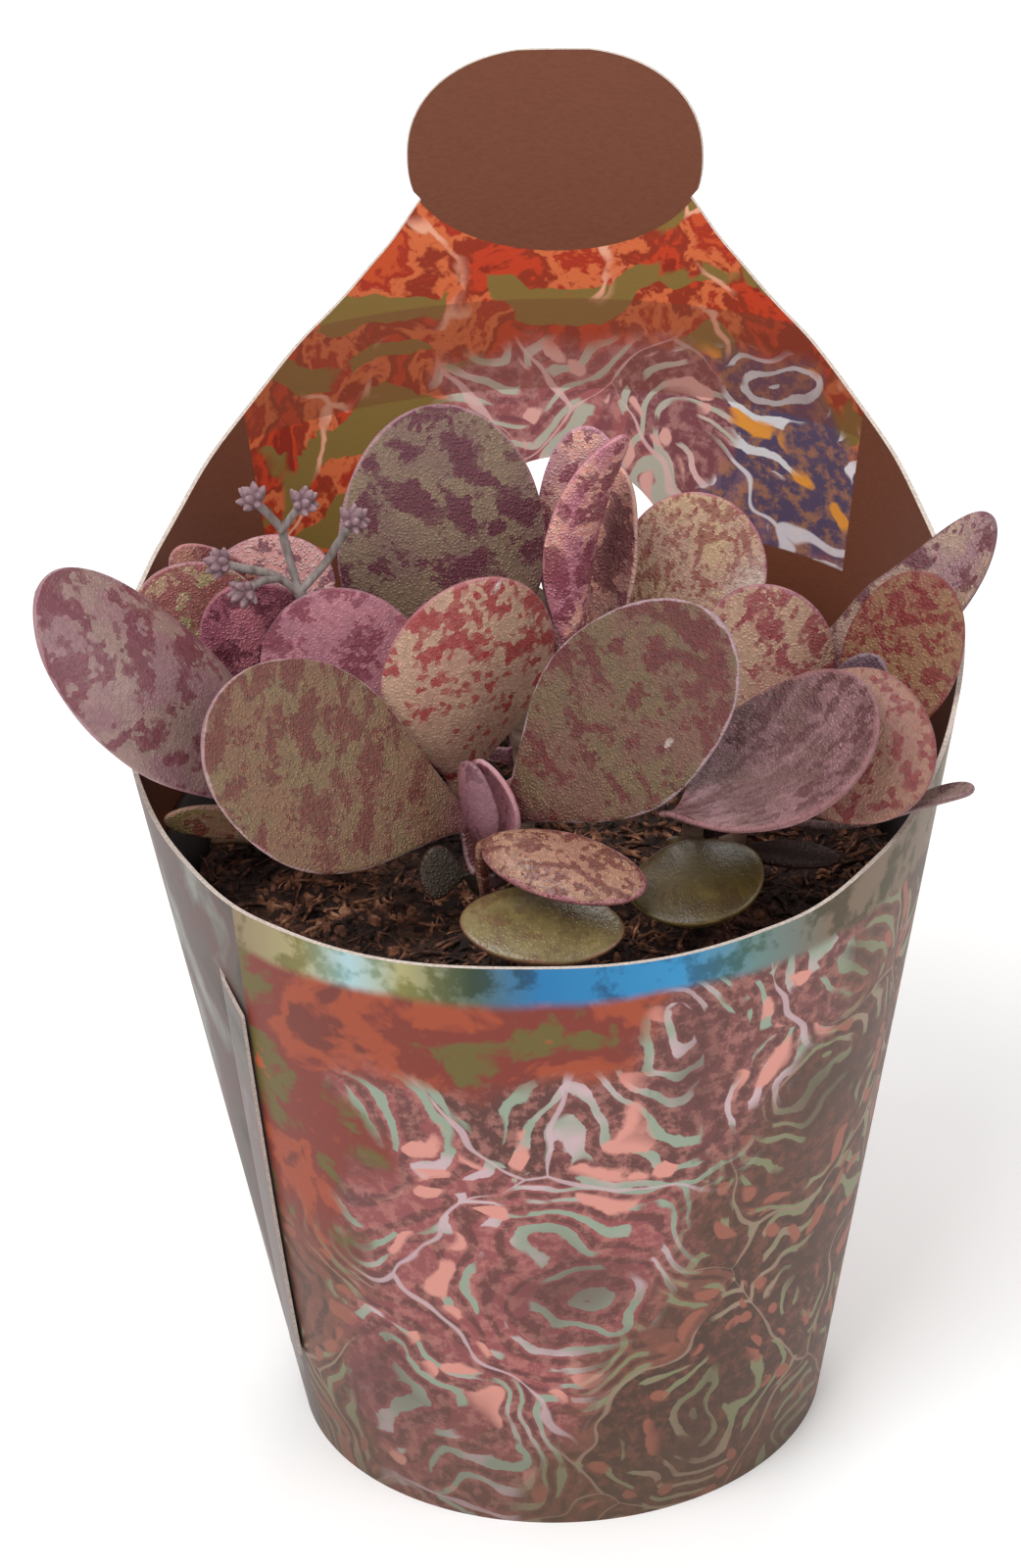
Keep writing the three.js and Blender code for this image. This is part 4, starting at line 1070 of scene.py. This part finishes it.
# The left cutting: one big cupped leaf outside, and a fan of smaller ones behind it.
leaf(
    "leaf_left_cupped", "leaf_mauve", "left", 0.097, root=(-0.0335, -0.014, 0.105),
    tip=(-0.066, -0.026, 0.145), face=(-118, -30), width=0.0275, curl=41, arch=-0.003, side=0.0005,
    widest=0.56, colours=((144, 116, 109), (137, 100, 104), (107, 49, 62), (168, 126, 134)), size=(9, 5),
    cover=(0.16, 0.56), wart=0.3, gloss=0.32, stalk=(144, 102, 107))
leaf(
    "leaf_pink_left", "leaf_mauve", "left", 0.103, root=(-0.0185, -0.007, 0.1085),
    tip=(-0.033, -0.004, 0.1335), face=(-169, -13), width=0.0237, curl=12, side=-0.0005, widest=0.53,
    colours=((178, 116, 127), (165, 108, 121), (127, 54, 71), (145, 104, 114)), size=(8, 5),
    cover=(0.35, 0.5), wart=0.4, rim_width=0.3)
# The next four leaves of the fan stand in the shade of those before them; their colours are painted far
# lighter than the leaves' own to make up for it: painted light.
leaf(
    "leaf_dark_left", "leaf_dark", "left", 0.106, root=(-0.0325, 0.0042, 0.111),
    tip=(-0.0445, -0.0006, 0.1328), face=(3, -11), width=0.019, curl=15, side=-0.001,
    colours=((201, 122, 137), (164, 87, 107), (109, 38, 54), (155, 100, 107)), size=(10, 6),
    cover=(0.45, 0.5), rim_width=0.3)
leaf(
    "leaf_olive_left", "leaf_olive", "left", 0.109, root=(-0.035, 0.01, 0.113),
    tip=(-0.056, 0.005, 0.132), face=(12, -2), width=0.0193, curl=9, side=0.001, widest=0.65,
    colours=((176, 164, 114), (196, 162, 133), (163, 83, 88), (168, 118, 135)), size=(9, 6),
    cover=(0.4, 0.5), fleck=0.1, rim_width=0.3)
leaf(
    "leaf_slim_left", "leaf_beige", "left", 0.1124, root=(-0.0335, 0.0185, 0.1157),
    tip=(-0.0535, 0.014, 0.1325), face=(18, 4), width=0.0099, curl=10, side=0.001, widest=0.62,
    colours=((196, 140, 124), (175, 120, 110), (134, 66, 72), (175, 108, 115)), size=(6, 5),
    cover=(0.3, 0.4), fleck=0.08)
leaf(
    "leaf_pale_left", "leaf_beige", "left", 0.105, root=(-0.044, 0.021, 0.1135), tip=(-0.04, 0.025, 0.13),
    face=(-12, 15), width=0.0193, curl=9, side=-0.0015, widest=0.61,
    colours=((222, 180, 176), (199, 152, 158), (136, 60, 82), (165, 111, 129)), size=(7, 5),
    cover=(0.3, 0.4), fleck=0.1)
# This leaf lies in shade low at the rim; its colours are painted far lighter than its own to make up for
# it: painted light.
leaf(
    "leaf_rim_left", "leaf_beige", "left", 0.0928, root=(-0.0365, -0.016, 0.1015),
    tip=(-0.052, -0.02, 0.1062), face=(7, -22), width=0.0071, curl=4, side=-0.0015, widest=0.54,
    colours=((222, 188, 152), (198, 176, 122), (186, 100, 88), (226, 176, 162)), size=(5, 3),
    cover=(0.2, 0.25), fleck=0.1)
leaf(
    "leaf_back_left", "leaf_olive", "left", 0.104, root=(-0.02, 0.018, 0.108), tip=(-0.023, 0.036, 0.125),
    face=(0, 40), width=0.019, curl=12, arch=0.001, widest=0.58,
    colours=((122, 106, 72), (118, 92, 76), (100, 52, 56), (130, 88, 96)), size=(12, 6),
    cover=(0.3, 0.45), fleck=0.08)

# The middle cutting is the tallest. Its leaves stand up before the display panel.
leaf(
    "leaf_tall", "leaf_dark", "middle", 0.104, root=(-0.015, 0.006, 0.1085), tip=(-0.014, 0.015, 0.155),
    face=(14, 10), width=0.0302, curl=8, arch=0.002, widest=0.56,
    colours=((134, 110, 90), (126, 98, 86), (97, 42, 56), (166, 120, 132)), size=(16, 5.2),
    cover=(0.46, 0.5), fade=0.95, wart=0.7)
leaf(
    "leaf_middle_spotted", "leaf_beige", "middle", 0.101, root=(-0.011, -0.009, 0.1075),
    tip=(-0.004, -0.008, 0.1385), face=(-149, 5), width=0.0286, curl=26, arch=-0.002, side=-0.0015,
    widest=0.52, colours=((182, 145, 123), (174, 133, 115), (148, 34, 44), (164, 95, 107)),
    size=(3.6, 3.4), cover=(0.14, 0.54), fleck=0.34, fleck_size=1.2, wart=0.5, detail=1.6, rim_width=0.6,
    dust=(0.12, 0.97, 0.1))
leaf(
    "leaf_folded_middle", "leaf_mauve", "middle", 0.11, root=(0.005, 0.003, 0.1185),
    tip=(0.0126, 0.007, 0.1535), face=(-125, 7), width=0.0131, curl=60, arch=0.002, side=-0.001,
    widest=0.54, colours=((194, 124, 139), (223, 174, 158), (140, 55, 75), (197, 130, 145)), size=(4, 9),
    cover=(0.42, 0.5), fleck=0.06)
# This leaf and the next stand in shade behind the folded one; their colours are painted far lighter than
# their own to make up for it: painted light.
leaf(
    "leaf_behind_folded", "leaf_beige", "middle", 0.113, root=(0.003, 0.017, 0.1105),
    tip=(0.0065, 0.022, 0.1485), face=(3, 7), width=0.0135, curl=10, side=-0.0005, widest=0.63,
    colours=((225, 186, 169), (202, 155, 156), (151, 68, 91), (180, 128, 152)), size=(4, 7),
    cover=(0.45, 0.5), fleck=0.06)
leaf(
    "leaf_narrow_middle", "leaf_dark", "middle", 0.107, root=(0.007, 0.012, 0.1115),
    tip=(0.011, 0.016, 0.145), face=(-34, 9), width=0.012, curl=20,
    colours=((207, 152, 134), (181, 131, 122), (122, 63, 71), (207, 164, 150)), size=(6, 8),
    cover=(0.4, 0.5), fleck=0.06)
leaf(
    "leaf_back_middle", "leaf_olive", "middle", 0.101, root=(-0.005, 0.017, 0.103),
    tip=(-0.007, 0.034, 0.118), face=(-4, 45), width=0.017, curl=12, arch=0.001, widest=0.58,
    colours=((118, 102, 72), (112, 88, 72), (96, 50, 54), (126, 86, 92)), size=(12, 6), cover=(0.3, 0.45),
    fleck=0.08)

# The right cutting carries the densely speckled leaves.
leaf(
    "leaf_back_right", "leaf_beige", "right", 0.106, root=(0.0195, 0.015, 0.107),
    tip=(0.024, 0.027, 0.1355), face=(1, 23), width=0.0215, curl=8, arch=0.001, side=0.001, widest=0.63,
    colours=((189, 155, 122), (181, 143, 122), (132, 44, 44), (173, 103, 122)), size=(1.2, 2),
    cover=(0.36, 0.48), fleck=0.34, fleck_size=0.6, fade=0.7, wart=0.6, detail=2, dust=(0.95, 0.5, 0.55))
leaf(
    "leaf_right_spotted", "leaf_beige", "right", 0.104, root=(0.0305, -0.002, 0.108),
    tip=(0.038, 0.004, 0.1295), face=(-175, -14), width=0.0207, curl=16, side=-0.0025,
    colours=((179, 143, 120), (173, 130, 112), (136, 47, 58), (145, 84, 106)), size=(2.2, 3.2),
    cover=(0.08, 0.4), fleck=0.28, fleck_size=0.9, wart=0.6, detail=1.6, rim_width=0.6)
leaf(
    "leaf_right_round", "leaf_beige", "right", 0.101, root=(0.0455, -0.007, 0.11),
    tip=(0.056, -0.004, 0.137), face=(165, -12), width=0.0168, curl=15, widest=0.54, taper=0.85,
    colours=((141, 101, 72), (141, 89, 70), (117, 26, 32), (111, 33, 36)), size=(2, 2.4),
    cover=(0.34, 0.46), fleck=0.4, fleck_size=0.9, wart=0.6, detail=2, rim_width=0.6)
leaf(
    "leaf_far_right", "leaf_mauve", "right", 0.111, root=(0.0375, 0.009, 0.1175), tip=(0.064, 0.01, 0.14),
    face=(-38, 37), width=0.0148, curl=37, side=-0.0055, widest=0.44,
    colours=((163, 123, 127), (179, 147, 127), (110, 53, 64), (96, 59, 66)), size=(7, 4),
    cover=(0.4, 0.5), fade=0.95, rim_width=0.6)

# A short cutting at the lower right spreads its leaves over the rim.
leaf(
    "leaf_low_purple", "leaf_dark", "low_right", 0.1058, root=(0.0248, -0.0223, 0.121),
    tip=(0.037, -0.042, 0.118), face=(-42, 63), width=0.0363, curl=39, arch=-0.002, side=0.003,
    widest=0.52, taper=0.85, colours=((113, 76, 73), (142, 100, 104), (96, 50, 54), (137, 88, 90)),
    size=(14, 1.8), cover=(0.42, 0.46), fleck=0.02, rim_width=0.8, bloom=(157, 116, 120))
leaf(
    "leaf_curl_right", "leaf_mauve", "low_right", 0.1005, root=(0.0404, -0.0158, 0.1224),
    tip=(0.0489, -0.0164, 0.1297), face=(162, -12), width=0.006, curl=10,
    colours=((112, 84, 92), (102, 72, 84), (80, 46, 58), (132, 104, 114)), size=(4, 6))
leaf(
    "leaf_low_spotted", "leaf_beige", "low_right", 0.1085, root=(0.0352, -0.0176, 0.1242),
    tip=(0.0545, -0.03, 0.116), face=(169, -36), width=0.0221, curl=12, arch=-0.002, widest=0.46,
    taper=0.75, colours=((147, 105, 87), (141, 95, 83), (117, 30, 37), (116, 61, 66)), size=(2.6, 2.6),
    cover=(0.2, 0.38), fleck=0.28, fleck_size=1.2, wart=0.5, detail=1.6)
leaf(
    "leaf_rim_right", "leaf_mauve", "low_right", 0.1055, root=(0.0485, -0.0255, 0.1098),
    tip=(0.061, -0.0285, 0.1158), face=(-116, 65), width=0.0066, curl=20, side=0.0015,
    colours=((136, 106, 105), (146, 118, 110), (101, 62, 69), (125, 89, 93)), fleck=0.06)
leaf(
    "leaf_low_right", "leaf_olive", "low_right", 0.097, root=(0.0202, -0.022, 0.1035),
    tip=(0.025, -0.0352, 0.0983), face=(0, 69), width=0.0195, curl=4, arch=0.001, side=0.0004, widest=0.5,
    taper=0.6, thick=0.0024, colours=((84, 68, 26), (70, 56, 22), (58, 34, 18), (112, 92, 50)),
    size=(8, 4), fleck=0.06, fade=0.5, wart=0.1, gloss=0.34)
# This leaf lies in shadow, and its colours are painted near black: painted shade.
leaf(
    "leaf_shaded_right", "leaf_olive", "low_right", 0.095, root=(0.0275, -0.016, 0.1),
    tip=(0.043, -0.026, 0.1035), face=(-75, 73), width=0.0059, curl=7, widest=0.52,
    colours=((45, 13, 4), (38, 10, 3), (34, 6, 2), (53, 17, 4)))

# One small dry leaf has dropped on the soil at the left.
leaf(
    "fallen_leaf", "leaf_dry", None, 0, root=(-0.0375, 0.001, 0.0898), tip=(-0.049, 0.001, 0.0916),
    face=(-90, 75), width=0.005, curl=45, arch=0.0012, widest=0.5, thick=0.001,
    colours=((132, 102, 72), (104, 78, 54), (70, 48, 36), (112, 86, 62)), size=(4, 4), cover=(0.3, 0.4),
    fleck=0.08, gloss=0.8)

# The flower stalk is thin and dry. It forks a few times, and each end holds a tight bunch of
# small pointed buds that have not opened. The tree grows the rods and sets a bunch on each end.
fork = (-0.0332, -0.0022, 0.1333)
stalk_paths = (
    ((-0.0288, 0.0044, 0.1159), (-0.0272, 0.0015, 0.12), (-0.0292, -0.0018, 0.126), fork),
    (fork, (-0.035, -0.0005, 0.14), (-0.0355, -0.001, 0.1428), (-0.0384, -0.0026, 0.1474)),
    ((-0.0354, -0.001, 0.1423), (-0.0338, -0.0014, 0.1445), (-0.0323, -0.002, 0.1466)),
    (fork, (-0.0295, -0.0005, 0.137), (-0.0276, -0.001, 0.1401), (-0.0252, -0.0026, 0.1442)),
    (fork, (-0.0363, -0.0035, 0.1365), (-0.04, -0.0065, 0.139), (-0.0426, -0.008, 0.1404)),
    ((-0.036, -0.0032, 0.136), (-0.038, -0.006, 0.1368), (-0.0396, -0.0083, 0.1366)),
)
bud_turn = math.radians(137.5)    # from each bud to the next, round the bunch
bud_spread = math.radians(76)     # how far the outermost bud leans out

dry = Finish("dry_stalk", 0.7)
place = dry.place()
up_bud = dry.attribute("bud", "Fac")
streaky = dry.noise(dry.stretch(place, (1, 1, 0.3)), 900, 4, 0.6)
bare = dry.ramp(streaky, (0.30, (96, 84, 80)), (0.50, (130, 118, 114)), (0.70, (150, 138, 132)))
budding = dry.ramp(
    up_bud, (0.05, (104, 96, 82)), (0.30, (84, 54, 62)), (0.62, (118, 84, 94)), (0.95, (156, 126, 132)))
mottled = dry.ramp(dry.noise(place, 1100), (0.3, (70, 46, 54)), (0.7, (152, 126, 130)))
budding = dry.blend(0.5, budding, mottled)
dry.paint(dry.blend(up_bud.step(0.0, 0.03), bare, budding), streaky, 0.0001)

budded = Grower(
    "budded_stalk", Thick="Float", Slender="Float", Buds="Int", BudLong="Float", BudWide="Float",
    Turn="Float", Spread="Float")
sizes = budded.sizes
line = budded.line(26)
on_branch = budded.node("InputNamedAttribute", {"Name": "branch"})
thick = on_branch * (sizes["Slender"] - sizes["Thick"]) + sizes["Thick"]
rods = budded.rod(line, budded.circle(10, 1), Scale=thick * (budded.noise(500) * 0.3 + 0.85))

ball = budded.node("MeshUVSphere", {"Segments": 12, "Rings": 9, "Radius": 0.5})
spot = budded.node("InputPosition")
rise = spot.parts()[2] + 0.5
across = (rise ** 1.5 * -0.62 + 1.12) * sizes["BudWide"]
scale = budded.node("CombineXYZ", {"X": across, "Y": across, "Z": sizes["BudLong"]})
shaped = budded.vector("MULTIPLY", budded.vector("ADD", spot, (0, 0, 0.5)), scale)
marked = budded.node("StoreNamedAttribute", {
    "Geometry": ball, "Name": "bud", "Value": rise}, data_type="FLOAT", domain="POINT")
bud = budded.node("SetPosition", {"Geometry": marked, "Position": shaped})

row = budded.node("MeshLine", {"Count": sizes["Buds"], "Offset": (0, 0, 0)})
number = budded.node("InputIndex")
outwards = budded.math("SQRT", number / sizes["Buds"])
leaning = budded.node("CombineXYZ", {"Y": outwards * sizes["Spread"], "Z": number * sizes["Turn"]})
bunch = budded.set_on(row, bud, Rotation=leaning, Scale=outwards * -0.22 + 1.0)

at_end = budded.node("CurveEndpointSelection", {"Start Size": 0, "End Size": 1})
branches = budded.node("Compare", {0: on_branch, 1: 0.5}, operation="GREATER_THAN")
branch_ends = budded.node("BooleanMath", {0: at_end, 1: branches}, operation="AND")
ahead = budded.node("AlignRotationToVector", {"Vector": budded.node("InputTangent")}, axis="Z")
bunches = budded.set_on(line, bunch, Selection=branch_ends, Rotation=ahead)
budded.close(budded.node("JoinGeometry", {0: [rods, bunches]}), dry)

stalk_points, stalk_edges, on_branches = [], [], []
for path in stalk_paths:
    stalk_edges += chain(len(stalk_points), len(path))
    on_branches += [float(bool(stalk_points))] * len(path)
    stalk_points += path
flowers = mesh_piece("flower_stalk_and_buds", stalk_points, [], stalk_edges)
flowers.data.attributes.new("branch", "FLOAT", "POINT").data.foreach_set("value", on_branches)
budded.grow(
    flowers, Thick=0.0008, Slender=0.00062, Buds=11, BudLong=0.0034, BudWide=0.0020,
    Turn=bud_turn, Spread=bud_spread)
flowers.data.shade_smooth()
finished(flowers, "flower_stalk", sharp=60)
